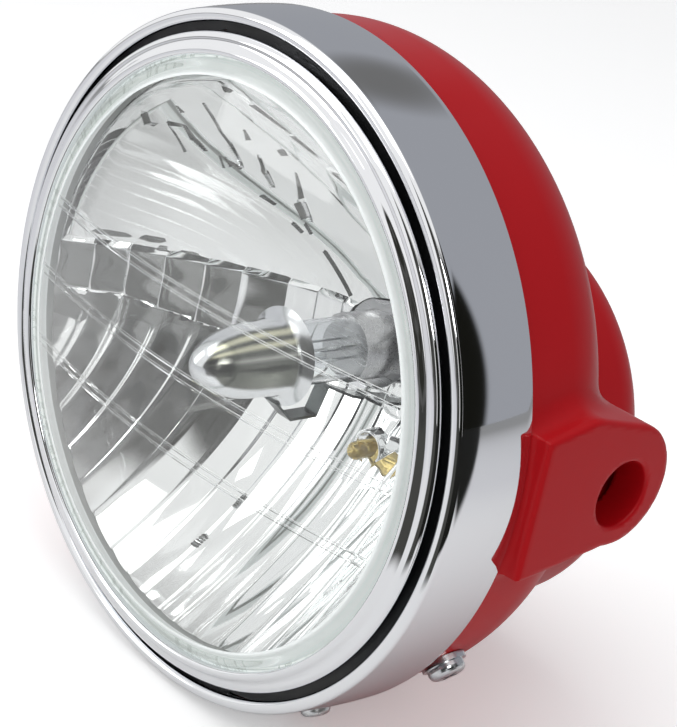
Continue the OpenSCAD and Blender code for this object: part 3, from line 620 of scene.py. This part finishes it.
def makeLens():
    size = lensSizes
    crown, edge, wall, shoulder = size["crown"], size["edge"], size["wall"], size["shoulder"]
    front, flange, corner, fillet = size["front"], size["flange"], size["corner"], size["fillet"]
    reach, bend = crown - shoulder, (edge - shoulder, front)
    centre = front + math.sqrt(reach ** 2 - bend[0] ** 2)
    edgeAngle = math.degrees(math.asin(bend[0] / reach))
    innerCrown, innerEdge = crown - wall, edge - wall
    innerAngle = math.degrees(math.asin((innerEdge - fillet) / (innerCrown - fillet)))

    def crownArc(radius, end):
        turns = [math.radians(end * i / 24) for i in range(25)]
        return [(radius * math.sin(a), centre - radius * math.cos(a)) for a in turns]

    inner = crownArc(innerCrown, innerAngle)
    outline = crownArc(crown, edgeAngle) + arcPoints(bend, shoulder, -90 + edgeAngle, 0, 14)[1:]
    outline += [(flange - corner, front), (flange, front + corner), (flange, size["back"]),
                (innerEdge, size["back"])]
    outline += arcPoints((innerEdge - fillet, inner[-1][1] + fillet), fillet, 0, -80, 8)
    outline += list(reversed(inner))
    piece = turnedPiece("lens", outline, 256, angle=50)
    lines = []
    for k in (-1, 0, 1):
        for side in (-1, 1):
            height = k * size["pitch"] + side * size["lineGap"] / 2
            half = math.sqrt(innerEdge ** 2 - height ** 2) - 2
            lines.append(lensLine(height, half, innerCrown, centre))
    ribs = joined("lensRibs", lines)
    # the reflector doesn't mirror them
    ribs.visible_glossy = False
    finished(ribs, "lens_clear", materials["lens"], "lens")
    finished(piece, "lens_clear", materials["lens"], "lens")
    piece.data.materials.append(materials["glassEdge"])
    # the thick border's inner faces take the pale look of its edge, with its painted glow
    for polygon in piece.data.polygons:
        x, _, z = polygon.center
        radius = math.hypot(x, z)
        outward = (polygon.normal.x * x + polygon.normal.z * z) / max(radius, 1e-6)
        if radius > size["border"] * mm and outward < 0.3 and polygon.normal.y > -0.3:
            polygon.material_index = 1
    return piece


def lensLine(height, half, crown, centre):
    # one fine rib, a bar bent onto the inside of the crown
    size = lensSizes
    onlySelect()
    bpy.ops.mesh.primitive_cube_add(size=1, location=(0, 0, 0))
    bar = bpy.context.active_object
    editAll()
    bpy.ops.transform.resize(value=(2 * half, size["lineHeight"] + size["lineSink"], size["lineWidth"]))
    bpy.ops.mesh.select_mode(type="EDGE")
    bpy.ops.mesh.select_all(action="DESELECT")
    leaveEdit()
    for edge in bar.data.edges:
        a, b = (bar.data.vertices[i].co for i in edge.vertices)
        edge.select = abs(a.x - b.x) > 1
    bpy.ops.object.mode_set(mode="EDIT")
    bpy.ops.mesh.subdivide(number_cuts=60)
    bpy.ops.mesh.select_mode(type="VERT")
    leaveEdit()
    for vertex in bar.data.vertices:
        x, y, z = vertex.co
        z += height
        taper = min(1, (half - abs(x)) / 4 + 0.15)
        face = centre - math.sqrt(crown ** 2 - x * x - z * z)
        y = face + 0.03 + (y + (size["lineHeight"] + size["lineSink"]) / 2) * taper
        vertex.co = (x * mm, (y + rimRear) * mm, z * mm)
    return settle(bar, 40)


# reflector: one height field on a curved bowl, with fluted columns, pillows and thin slivers
mirror = {
    "focal": 24, "vertex": 37.15, "mouth": 71.9, "bulbHole": 12.2, "split": 6.4, "row": -8.5, "rowFall": 0.23,
    "seams": [-71.9, -66.5, -61, -54.3, -47, -39.3, -29, -21, -13.2, -5.6, 1, 9.2, 17.4, 25.6, 34, 42, 50, 58,
              71.9],
    "steepFrom": -20, "flute": 0.3, "saw": 0.5, "sawRiser": 0.3, "lowSaw": 0.55, "lowRiser": 0.9,
    "pillow": 0.32, "pillowSteps": (0.2, -0.15, 0.25, -0.2), "ledge": 1.7,
    "turnAt": [-66, -57, -50, -43, -34, -25], "turns": [0, 0.08, 0.2, 0.2, 0.1, 0],
    # swellings on the ledge: middle x and height, half widths, rise
    "swells": ((-64.5, 9.4, 3.4, 1.5, 0.75), (-57.6, 9.4, 2.4, 1.8, 0.8), (-51, 8.4, 2.2, 1.0, 0.4),
               (-43.5, 8.2, 1.0, 1.4, 0.3), (-32.4, 8.8, 2.4, 1.2, 0.5)),
    "faceWall": 1.5, "wall": 2.2, "flange": 79.85, "flangeFront": -16.7, "flangeRear": -14.5,
    "collar": 14.5, "land": 20.5, "landFront": 40.05, "landRear": 42.65,
    "pilot": (13.5, -23.4), "pilotRing": (4.6, 27.6), "pilotLip": 0.5, "pilotRear": 34,
    "sliverStep": 0.6, "sliverRise": 0.9,
}
# slivers by the slopes of their faces, each row the corners as x and height in turn
slivers = [
    ((0.9, 0.22), [
        [-50.3, 48.3, -49.2, 49.2, -50.0, 46.0, -51.2, 45.0],
        [-50.9, 45.4, -50.0, 45.0, -48.3, 46.5, -49.7, 45.9],
        [-46.5, 47.3, -43.3, 47.8, -44.0, 46.7, -46.4, 46.3],
        [-43.7, 47.7, -42.9, 47.5, -42.4, 43.7, -43.6, 43.2],
        [-43.4, 43.7, -42.2, 44.1, -41.4, 40.8, -42.2, 40.6],
        [-46.6, 47.0, -46.3, 46.6, -46.3, 39.2, -46.8, 38.9],
        [-42.0, 53.1, -41.5, 53.0, -41.0, 51.6, -41.6, 51.1],
        [-34.6, 56.1, -34.2, 56.0, -35.1, 47.6, -35.8, 47.7],
        [-35.8, 47.7, -35.1, 47.6, -34.7, 44.6, -35.3, 44.4],
        [-39.6, 40.3, -38.9, 40.2, -35.1, 38.3, -35.9, 37.4],
        [-39.6, 40.3, -39.2, 40.1, -39.5, 36.7, -40.0, 36.6],
        [-38.5, 40.3, -37.9, 40.4, -37.4, 38.0, -38.0, 37.5],
        [-28.9, 50.8, -28.5, 50.6, -28.8, 47.7, -29.8, 47.4],
        [-29.3, 43.9, -28.9, 42.8, -29.6, 38.7, -30.6, 38.4],
        [-30.6, 38.4, -29.7, 38.5, -29.4, 35.4, -30.0, 35.2],
        [-33.7, 30.6, -32.8, 31.4, -30.3, 29.5, -30.9, 28.8],
        [-21.8, 47.3, -20.4, 48.0, -20.5, 46.1, -21.7, 45.7],
        [-21.1, 41.5, -20.7, 41.4, -22.0, 33.8, -23.0, 33.1],
        [-24.7, 31.4, -23.4, 32.3, -22.8, 28.0, -23.9, 27.0],
        [-27.6, 24.6, -26.9, 25.4, -24.9, 23.3, -25.5, 22.5],
        [-24.2, 25.6, -23.6, 26.1, -22.5, 23.5, -23.1, 22.9],
        [-20.2, 19.0, -19.2, 19.5, -11.8, 9.3, -12.5, 8.5],
        [-24.9, 63.2, -24.3, 63.1, -22.1, 63.0, -23.7, 61.8],
    ]),
    ((0.6, 1.5), [
        [-35.2, 44.5, -34.7, 44.6, -34.8, 38.4, -35.2, 38.1],
        [-29.7, 38.2, -29.2, 38.4, -29.1, 34.5, -29.6, 34.3],
        [-22.4, 32.6, -21.9, 33.0, -21.7, 27.1, -22.1, 26.9],
    ]),
    ((0.9, 0.22), [
        [-29.4, -20.2, -28.2, -20.4, -20.0, -15.6, -18.6, -12.8, -20.6, -14.4],
        [-41.0, -33.4, -39.4, -34.2, -31.4, -29.2, -31.0, -27.6, -33.4, -28.4],
        [-12.8, -50.0, -11.6, -50.4, -11.8, -47.4, -12.8, -47.0],
        [-13.4, -59.6, -11.6, -60.4, -11.4, -57.8, -13.0, -57.0],
    ]),
]


def bowlDepth(x, z):
    return mirror["vertex"] - (x * x + z * z) / (4 * mirror["focal"])


def rowHeight(x):
    # the lower edge of the pillows falls towards the middle
    return mirror["row"] - mirror["rowFall"] * (52 - np.clip(np.abs(x), 30, 61))


def seamLines(breaks, step):
    # grid lines between the breaks, with narrow strips beside each of them
    lines = []
    for a, b in zip(breaks, breaks[1:]):
        width = b - a - 1.2
        inner = max(2, round(width / step))
        lines += [a, a + 0.22, a + 0.6] + [a + 0.6 + width * k / inner for k in range(1, inner)]
        lines += [b - 0.6, b - 0.22]
    return lines + [breaks[-1]]


def smoothStep(t):
    t = np.clip(t, 0, 1)
    return t * t * (3 - 2 * t)


def facetRelief(x, z):
    # offset from the plain bowl in mm, positive to the rear
    seams = np.array(mirror["seams"])
    i = np.clip(np.searchsorted(seams, x, side="right") - 1, 0, len(seams) - 2)
    a, b = seams[i], seams[i + 1]
    middle = (a + b) / 2
    u = (x - a) / (b - a)
    sign = np.where(middle < mirror["steepFrom"], 1.0, -1.0)
    # sawtooth with a narrow riser at each seam, on a gently rounded column
    rise = mirror["sawRiser"] / (b - a)
    saw = np.where(u < rise, 0.5 - u / rise, -0.5 + (u - rise) / (1 - rise))
    crown = mirror["flute"] * (1 - (2 * u - 1) ** 2)
    column = mirror["saw"] * sign * saw - crown
    # the lower columns lean the other way, with a wider riser
    rise = mirror["lowRiser"] / (b - a)
    saw = np.where(u < rise, u / rise - 0.5, 0.5 - (u - rise) / (1 - rise))
    lower = mirror["lowSaw"] * saw - crown
    row, split = rowHeight(x), mirror["split"]
    below = smoothStep((row - z) / 0.5)
    above = smoothStep((z - split) / 2.0)
    between = (1 - below) * (1 - above)
    v = np.clip((z - row) / (split - row), 0, 1)
    step = np.array(mirror["pillowSteps"])[i % 4]
    turn = np.interp(middle, mirror["turnAt"], mirror["turns"]) * (x - middle)
    pillows = column * 0.8 - mirror["pillow"] * (1 - (2 * v - 1) ** 4) + step + turn
    ripple = 0.02 * np.sin(x * 0.9 + 0.3 * z) + 0.015 * np.sin(z * 0.55 + x * 0.2)
    upper = mirror["ledge"] + ripple
    for cx, cz, wx, wz, h in mirror["swells"]:
        upper = upper - h * np.exp(-((x - cx) / wx) ** 4 - ((z - cz) / wz) ** 2)
    return lower * below + pillows * between + upper * above


def faceDepth(x, z):
    return bowlDepth(x, z) + float(facetRelief(np.array([x]), np.array([z]))[0])


def makeMirrorFace():
    mouth, hole = mirror["mouth"], mirror["bulbHole"]
    row, split, bendFrom = mirror["row"], mirror["split"], -24
    xs = seamLines(mirror["seams"], 1.3)
    levels = seamLines([-mouth, bendFrom, row, split, 14, mouth], 1.4)
    onlySelect()
    across, up = len(xs) - 1, len(levels) - 1
    bpy.ops.mesh.primitive_grid_add(x_subdivisions=across, y_subdivisions=up, size=2, location=(0, 0, 0))
    face = bpy.context.active_object
    face.name = "mirrorFace"
    count = len(face.data.vertices)
    coords = np.empty(count * 3)
    face.data.vertices.foreach_get("co", coords)
    coords = coords.reshape(-1, 3)
    x = np.array(xs)[np.rint((coords[:, 0] + 1) / 2 * across).astype(int)]
    level = np.array(levels)[np.rint((coords[:, 1] + 1) / 2 * up).astype(int)]
    z = level + (rowHeight(x) - row) * np.interp(level, [bendFrom, row, split], [0, 1, 0])
    r = np.hypot(x, z)
    outside, inside = r > mouth, r < hole
    near = np.maximum(r, 1e-6)
    fit = np.where(outside, mouth / near, np.where(inside, hole / near, 1.0))
    fx, fz = x * fit, z * fit
    depth = bowlDepth(fx, fz) + facetRelief(fx, fz)
    places = np.column_stack((fx * mm, (depth + rimRear) * mm, fz * mm))
    face.data.vertices.foreach_set("co", places.ravel())
    drop = outside | inside
    bpy.ops.object.mode_set(mode="EDIT")
    bpy.ops.mesh.select_mode(type="FACE")
    bpy.ops.mesh.select_all(action="DESELECT")
    leaveEdit()
    for polygon in face.data.polygons:
        polygon.select = all(drop[k] for k in polygon.vertices)
    bpy.ops.object.mode_set(mode="EDIT")
    bpy.ops.mesh.delete(type="FACE")
    bpy.ops.mesh.select_mode(type="VERT")
    bpy.ops.mesh.select_all(action="SELECT")
    bpy.ops.mesh.remove_doubles(threshold=gridSpot)
    bpy.ops.mesh.region_to_loop()
    bpy.ops.mesh.extrude_region_move(TRANSFORM_OT_translate={"value": (0, mirror["faceWall"] * mm, 0)})
    leaveEdit()
    return face


def sliverSteps(corners, length):
    # a long sliver as a flight of short facets, so that each lies close to the bowl
    if len(corners) != 4:
        return [corners]
    a, b, c, d = corners
    count = max(1, math.ceil(max(np.hypot(*(d - a)), np.hypot(*(c - b))) / length))
    steps = []
    for i in range(count):
        s, t = i / count, (i + 1) / count
        steps.append([a + (d - a) * s, b + (c - b) * s, b + (c - b) * t, a + (d - a) * t])
    return steps


def makeSlivers():
    made = []
    wholes = [(slope, np.reshape(row, (-1, 2))) for slope, rows in slivers for row in rows]
    steps = [(slope, step) for slope, whole in wholes for step in sliverSteps(whole, mirror["sliverStep"])]
    for slope, corners in steps:
        onlySelect()
        count = len(corners)
        bpy.ops.mesh.primitive_circle_add(vertices=count, radius=1, fill_type="NGON", location=(0, 0, 0))
        piece = bpy.context.active_object
        cx, cz = (sum(c[k] for c in corners) / count for k in (0, 1))
        base = faceDepth(cx, cz)
        depths = [base + slope[0] * (x - cx) + slope[1] * (z - cz) for x, z in corners]
        # the facet comes forward until it clears the bowl, but no further than its greatest rise
        lift = max(depth - faceDepth(x, z) for depth, (x, z) in zip(depths, corners)) + 0.05
        for vertex, depth, (x, z) in zip(piece.data.vertices, depths, corners):
            depth -= min(lift, mirror["sliverRise"])
            vertex.co = (x * mm, (depth + rimRear) * mm, z * mm)
        editAll()
        bpy.ops.mesh.extrude_region_move(TRANSFORM_OT_translate={"value": (0, 2 * mm, 0)})
        leaveEdit()
        made.append(piece)
    return made


def makeReflector():
    mouth, hole = mirror["mouth"], mirror["bulbHole"]
    face = joined("mirrorFace", [makeMirrorFace()] + makeSlivers())
    onlySelect(face)
    bpy.ops.object.shade_smooth_by_angle(angle=math.radians(24))
    radii = [mouth * i / 24 for i in range(25)]
    wall, collar, land = mirror["wall"], mirror["collar"], mirror["land"]
    back = [(r + wall, bowlDepth(r, 0) + 2.0 * (1 - r / mouth)) for r in radii if 12.8 < r < mouth - 1]
    outline = [(hole, bowlDepth(hole, 0) + 1.2)]
    outline += [(r, bowlDepth(r, 0) + mirror["faceWall"]) for r in radii if r > hole]
    outline += [(mouth, mirror["flangeFront"]), (mirror["flange"], mirror["flangeFront"]),
                (mirror["flange"], mirror["flangeRear"]), (mouth + 1.9, mirror["flangeRear"])]
    outline += list(reversed(back)) + [(collar, bowlDepth(collar, 0) + 2.0), (collar, mirror["landFront"])]
    outline += [(land, mirror["landFront"]), (land, mirror["landRear"]), (hole, mirror["landRear"])]
    skin = turnedPiece("reflectorShell", outline, 192)
    (middle, lip), half, rear = mirror["pilotRing"], mirror["pilotLip"], mirror["pilotRear"]
    outline = arcPoints((middle, lip), half, 180, 360, 8) + [(middle + half, rear), (middle - half, rear)]
    pilot = turnedPiece("pilotRing", outline, 48, centre=mirror["pilot"])
    piece = joined("reflector", [face, skin, pilot])
    return finished(piece, "reflector_coat", materials["mirror"], "reflector")


# bulb with its chrome cap on a dark bent leg
bulb = {"capTip": -24.2, "capNose": 19, "capRadius": 9.6, "flareRadius": 12.8, "flareLength": 4,
        "flareCurve": 1.6, "capEnd": 3.8, "capSheet": 0.6, "glassRadius": 8.4, "glassNose": 11.76,
        "glassFront": -16.96, "glassWall": 0.9, "bodyFront": 25, "legWidth": 5, "legSheet": 0.8,
        "leg": [(2.8, -12.0), (8.8, -17.5), (17.7, -17.5), (20.2, -9.6), (29.3, -13.5), (33.6, -14.6)]}


def makeCap():
    nose, r, tip, sheet = bulb["capNose"], bulb["capRadius"], bulb["capTip"], bulb["capSheet"]
    end, flare, length = bulb["capEnd"], bulb["flareRadius"], bulb["flareLength"]
    quarter = [math.radians(90 * i / 28) for i in range(29)]
    outer = [(r * math.sin(a), tip + nose * (1 - math.cos(a))) for a in quarter]
    inner = [((r - sheet) * math.sin(a), tip + nose - (nose - sheet) * math.cos(a)) for a in quarter]
    sweep = [((flare - r) * (i / 6) ** bulb["flareCurve"], end - length * (1 - i / 6)) for i in range(1, 7)]
    outer += [(r + out, depth) for out, depth in sweep]
    lip = [(flare - sheet / 2, end + sheet / 2)]
    inner += [(r - sheet + out, depth + sheet / 2) for out, depth in sweep]
    cap = turnedPiece("shieldCap", outer + lip + list(reversed(inner)), 96, closed=False)
    onlySelect()
    bpy.ops.mesh.primitive_plane_add(size=1, location=(0, 0, 0))
    leg = bpy.context.active_object
    points = bulb["leg"]
    editAll()
    bpy.ops.transform.resize(value=(bulb["legWidth"] * mm, bulb["legSheet"] * mm, 1))
    bpy.ops.transform.rotate(value=math.radians(90), orient_axis="X", center_override=(0, 0, 0))
    bpy.ops.transform.translate(value=(0, (points[0][0] + rimRear) * mm, points[0][1] * mm))
    for a, b in zip(points, points[1:]):
        step = (0, (b[0] - a[0]) * mm, (b[1] - a[1]) * mm)
        bpy.ops.mesh.extrude_region_move(TRANSFORM_OT_translate={"value": step})
    bpy.ops.mesh.select_all(action="SELECT")
    bpy.ops.mesh.normals_make_consistent(inside=False)
    leaveEdit()
    settle(leg)
    cap.data.materials.append(materials["capChrome"])
    leg.data.materials.append(materials["darkSteel"])
    piece = joined("shieldCap", [cap, leg])
    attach(piece, "root")
    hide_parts("shield_cap")
    return piece


def makeBulbGlass():
    r, front, nose, wall = bulb["glassRadius"], bulb["glassFront"], bulb["glassNose"], bulb["glassWall"]
    quarter = [math.radians(90 * i / 16) for i in range(17)]
    outline = [(r * math.sin(a), front + nose * (1 - math.cos(a))) for a in quarter]
    outline += [(r, bulb["bodyFront"]), (r - wall, bulb["bodyFront"])]
    inner = [((r - wall) * math.sin(a), front + nose - (nose - wall) * math.cos(a)) for a in quarter]
    outline += list(reversed(inner))
    piece = turnedPiece("bulbGlass", outline, 64, closed=False)
    return finished(piece, "bulb_glass", materials["bulbGlass"], "bulb_glass")


# painted shell, cast in one piece with its soft blends
shell = {"wall": 2.6, "bowlRadius": 86, "corner": 24, "bowlDepth": 39.7, "front": -13.2,
         "backRadius": 56.5, "backDrop": 21.5, "backCorner": 14.5, "backEnd": 92,
         "earFace": 91.5, "earRoot": 70, "earEdge": 1.3, "earBlend": 4.5, "backBlend": 3.5,
         "earRear": (31.5, 2.0), "earRearRadius": 15.6, "earCrest": (17.0, 8.8), "earCrestRadius": 12.0,
         "earFoot": [(1, 17.5), (1, -17.5)],
         "bore": 8.35, "boreDepth": 10, "pocket": 11, "boreEdge": 1.0,
         # screw holes: angle round the axis, depth, radius
         "holes": ((-38, 11, 2.7), (-142, 11, 2.7), (-60, -4.5, 2.15), (-120, -4.5, 2.15)),
         "hookDepth": -2.4, "hookHalf": (0.8, 7.5), "wallInside": 78,
         "cableDrop": 35.5, "cableRadius": 11, "cableFrom": 84,
         "voxel": 1.25, "keep": 0.62, "rounds": 3, "stride": 1.2}


def softMin(a, b, k):
    h = np.clip(0.5 + 0.5 * (b - a) / k, 0, 1)
    return b + (a - b) * h - k * h * (1 - h)


def softMax(a, b, k):
    return -softMin(-a, -b, k)


def roundedCan(r, d, radius, end, corner):
    qx, qy = r - (radius - corner), d - (end - corner)
    return np.hypot(np.maximum(qx, 0), np.maximum(qy, 0)) + np.minimum(np.maximum(qx, qy), 0) - corner


def earOutline():
    # the ear seen from its side, as (depth, height) points: round rear end, crowned top, sloping underside
    rear, crest = shell["earRear"], shell["earCrest"]
    rearR, crestR = shell["earRearRadius"], shell["earCrestRadius"]
    link = (crest[0] - rear[0], crest[1] - rear[1])
    tangent = math.degrees(math.atan2(link[1], link[0]) - math.acos((rearR - crestR) / math.hypot(*link)))
    end = arcPoints(rear, rearR, -98, tangent, 24)
    return end + arcPoints(crest, crestR, tangent, 104, 8) + shell["earFoot"]


def outlineDistance(px, py, outline):
    # signed distance to a closed outline, negative inside
    best = np.full(px.shape, 1e9)
    inside = np.zeros(px.shape, bool)
    count = len(outline)
    for i in range(count):
        ax, ay = outline[i]
        bx, by = outline[(i + 1) % count]
        ex, ey = bx - ax, by - ay
        wx, wy = px - ax, py - ay
        t = np.clip((wx * ex + wy * ey) / (ex * ex + ey * ey + 1e-12), 0, 1)
        best = np.minimum(best, np.hypot(wx - ex * t, wy - ey * t))
        crosses = ((ay > py) != (by > py)) & (px < (bx - ax) * (py - ay) / (by - ay + 1e-12) + ax)
        inside ^= crosses
    return np.where(inside, -best, best)


earShape = earOutline()


def shellDistance(points):
    # distance in mm to the cast shell with its soft blends, for points in mm (x, depth, z)
    x, d, z = points[:, 0], points[:, 1], points[:, 2]
    side = np.abs(x)
    r = np.hypot(x, z)
    backR = np.hypot(x, z + shell["backDrop"])
    bowl = roundedCan(r, d, shell["bowlRadius"], shell["bowlDepth"], shell["corner"])
    back = roundedCan(backR, d, shell["backRadius"], shell["backEnd"], shell["backCorner"])
    body = softMin(bowl, back, shell["backBlend"])
    flat = outlineDistance(d, z, earShape)
    e = shell["earEdge"]
    q1, q2 = flat + e, side - shell["earFace"] + e
    ear = np.hypot(np.maximum(q1, 0), np.maximum(q2, 0)) + np.minimum(np.maximum(q1, q2), 0) - e
    ear = np.maximum(ear, shell["earRoot"] - side)
    solid = softMin(body, ear, shell["earBlend"])
    wall = shell["wall"]
    hollow = np.minimum(bowl + wall, np.maximum(back + wall, shell["bowlDepth"] - wall - 1 - d))
    solid = softMax(solid, -hollow, 0.4)
    axisR = np.hypot(d + rimRear, z)
    boreEnd = shell["earFace"] - shell["boreDepth"]
    boss = np.maximum(np.maximum(axisR - shell["pocket"] - wall, boreEnd - side), ear)
    solid = np.minimum(solid, boss)
    bore = np.maximum(axisR - shell["bore"], boreEnd - 1 - side)
    pocket = np.maximum(np.maximum(axisR - shell["pocket"], side - boreEnd), shell["earRoot"] + wall - side)
    solid = softMax(solid, -pocket, 0.5)
    solid = softMax(solid, -bore, shell["boreEdge"])
    inside = shell["wallInside"]
    for angle, depth, radius in shell["holes"]:
        a = math.radians(angle)
        along = x * math.cos(a) + z * math.sin(a)
        across = -x * math.sin(a) + z * math.cos(a)
        hole = np.maximum(np.hypot(across, d - depth) - radius, inside - along)
        solid = np.maximum(solid, -hole)
    high, broad = shell["hookHalf"]
    slot = np.maximum(np.maximum(np.abs(d - shell["hookDepth"]) - high, side - broad), inside - z)
    solid = np.maximum(solid, -slot)
    cable = np.hypot(x, z + shell["cableDrop"]) - shell["cableRadius"]
    cable = np.maximum(cable, shell["cableFrom"] - d)
    solid = softMax(solid, -cable, 0.5)
    return np.maximum(solid, shell["front"] - d)


def shellNormals(points):
    # slope of the distance, and its size
    step = 0.15
    grad = np.empty_like(points)
    for k in range(3):
        ahead, behind = points.copy(), points.copy()
        ahead[:, k] += step
        behind[:, k] -= step
        grad[:, k] = (shellDistance(ahead) - shellDistance(behind)) / (2 * step)
    size = np.maximum(np.linalg.norm(grad, axis=1, keepdims=True), 1e-6)
    return grad, size


def layOnShell(piece):
    # moves every vertex onto the cast shell, and gives the shell's normals there
    mesh = piece.data
    coords = np.empty(len(mesh.vertices) * 3)
    mesh.vertices.foreach_get("co", coords)
    points = coords.reshape(-1, 3) / mm
    points[:, 1] -= rimRear
    for _ in range(shell["rounds"]):
        grad, size = shellNormals(points)
        move = shellDistance(points)[:, None] * grad / size ** 2
        length = np.linalg.norm(move, axis=1, keepdims=True)
        points -= move * np.minimum(1, shell["stride"] / np.maximum(length, 1e-9))
    grad, size = shellNormals(points)
    points[:, 1] += rimRear
    mesh.vertices.foreach_set("co", (points * mm).ravel())
    mesh.update()
    return grad / size


def makeShell():
    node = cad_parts["housing"]
    onlySelect()
    piece = node.copy()
    piece.data = node.data.copy()
    piece.name = "paintedShell"
    bpy.context.scene.collection.objects.link(piece)
    onlySelect(piece)
    editAll()
    bpy.ops.mesh.remove_doubles(threshold=gridSpot)
    leaveEdit()
    remesh = piece.modifiers.new("cast", "REMESH")
    remesh.mode = "VOXEL"
    remesh.voxel_size = shell["voxel"] * mm
    applyModifiers(piece)
    layOnShell(piece)
    thin = piece.modifiers.new("thin", "DECIMATE")
    thin.ratio = shell["keep"]
    applyModifiers(piece)
    normals = layOnShell(piece)
    for polygon in piece.data.polygons:
        polygon.use_smooth = True
    piece.data.normals_split_custom_set_from_vertices(normals.tolist())
    print("shell triangles", sum(len(p.vertices) - 2 for p in piece.data.polygons))
    return finished(piece, "red_paint", materials["red"], "housing")


makeShell()
print("shell done")
makeOuterRim()
makeInnerRing()
print("rims done")
makeLens()
print("lens done")
makeReflector()
print("reflector done")
makeCap()
makeBulbGlass()
print("bulb done")

# finishes of the CAD nodes that stay
nodeFinish = {
    "rim_gasket": "rubber", "carrier_ring": "black", "lens_seal": "seal", "shield_rivet": "zinc",
    "bulb_filaments": "zinc", "bulb_base": "bulbMetal", "bulb_terminals": "brass", "bulb_clip": "zinc",
    "clip_screw": "zinc", "dust_boot": "rubber", "position_bulb": "amberGlass", "position_holder": "rubber",
    "rim_brackets": "zinc", "bracket_rivets": "zinc", "bracket_nuts": "zinc", "top_hook": "zinc",
    "rim_screws": "zinc", "rim_washers": "zinc", "side_screws": "zinc", "side_screw_nuts": "zinc",
    "cable_grommet": "rubber",
}
for node, look in nodeFinish.items():
    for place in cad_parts[node].material_slots:
        place.material = materials[look]

bpy.context.scene.view_settings.view_transform = "Standard"
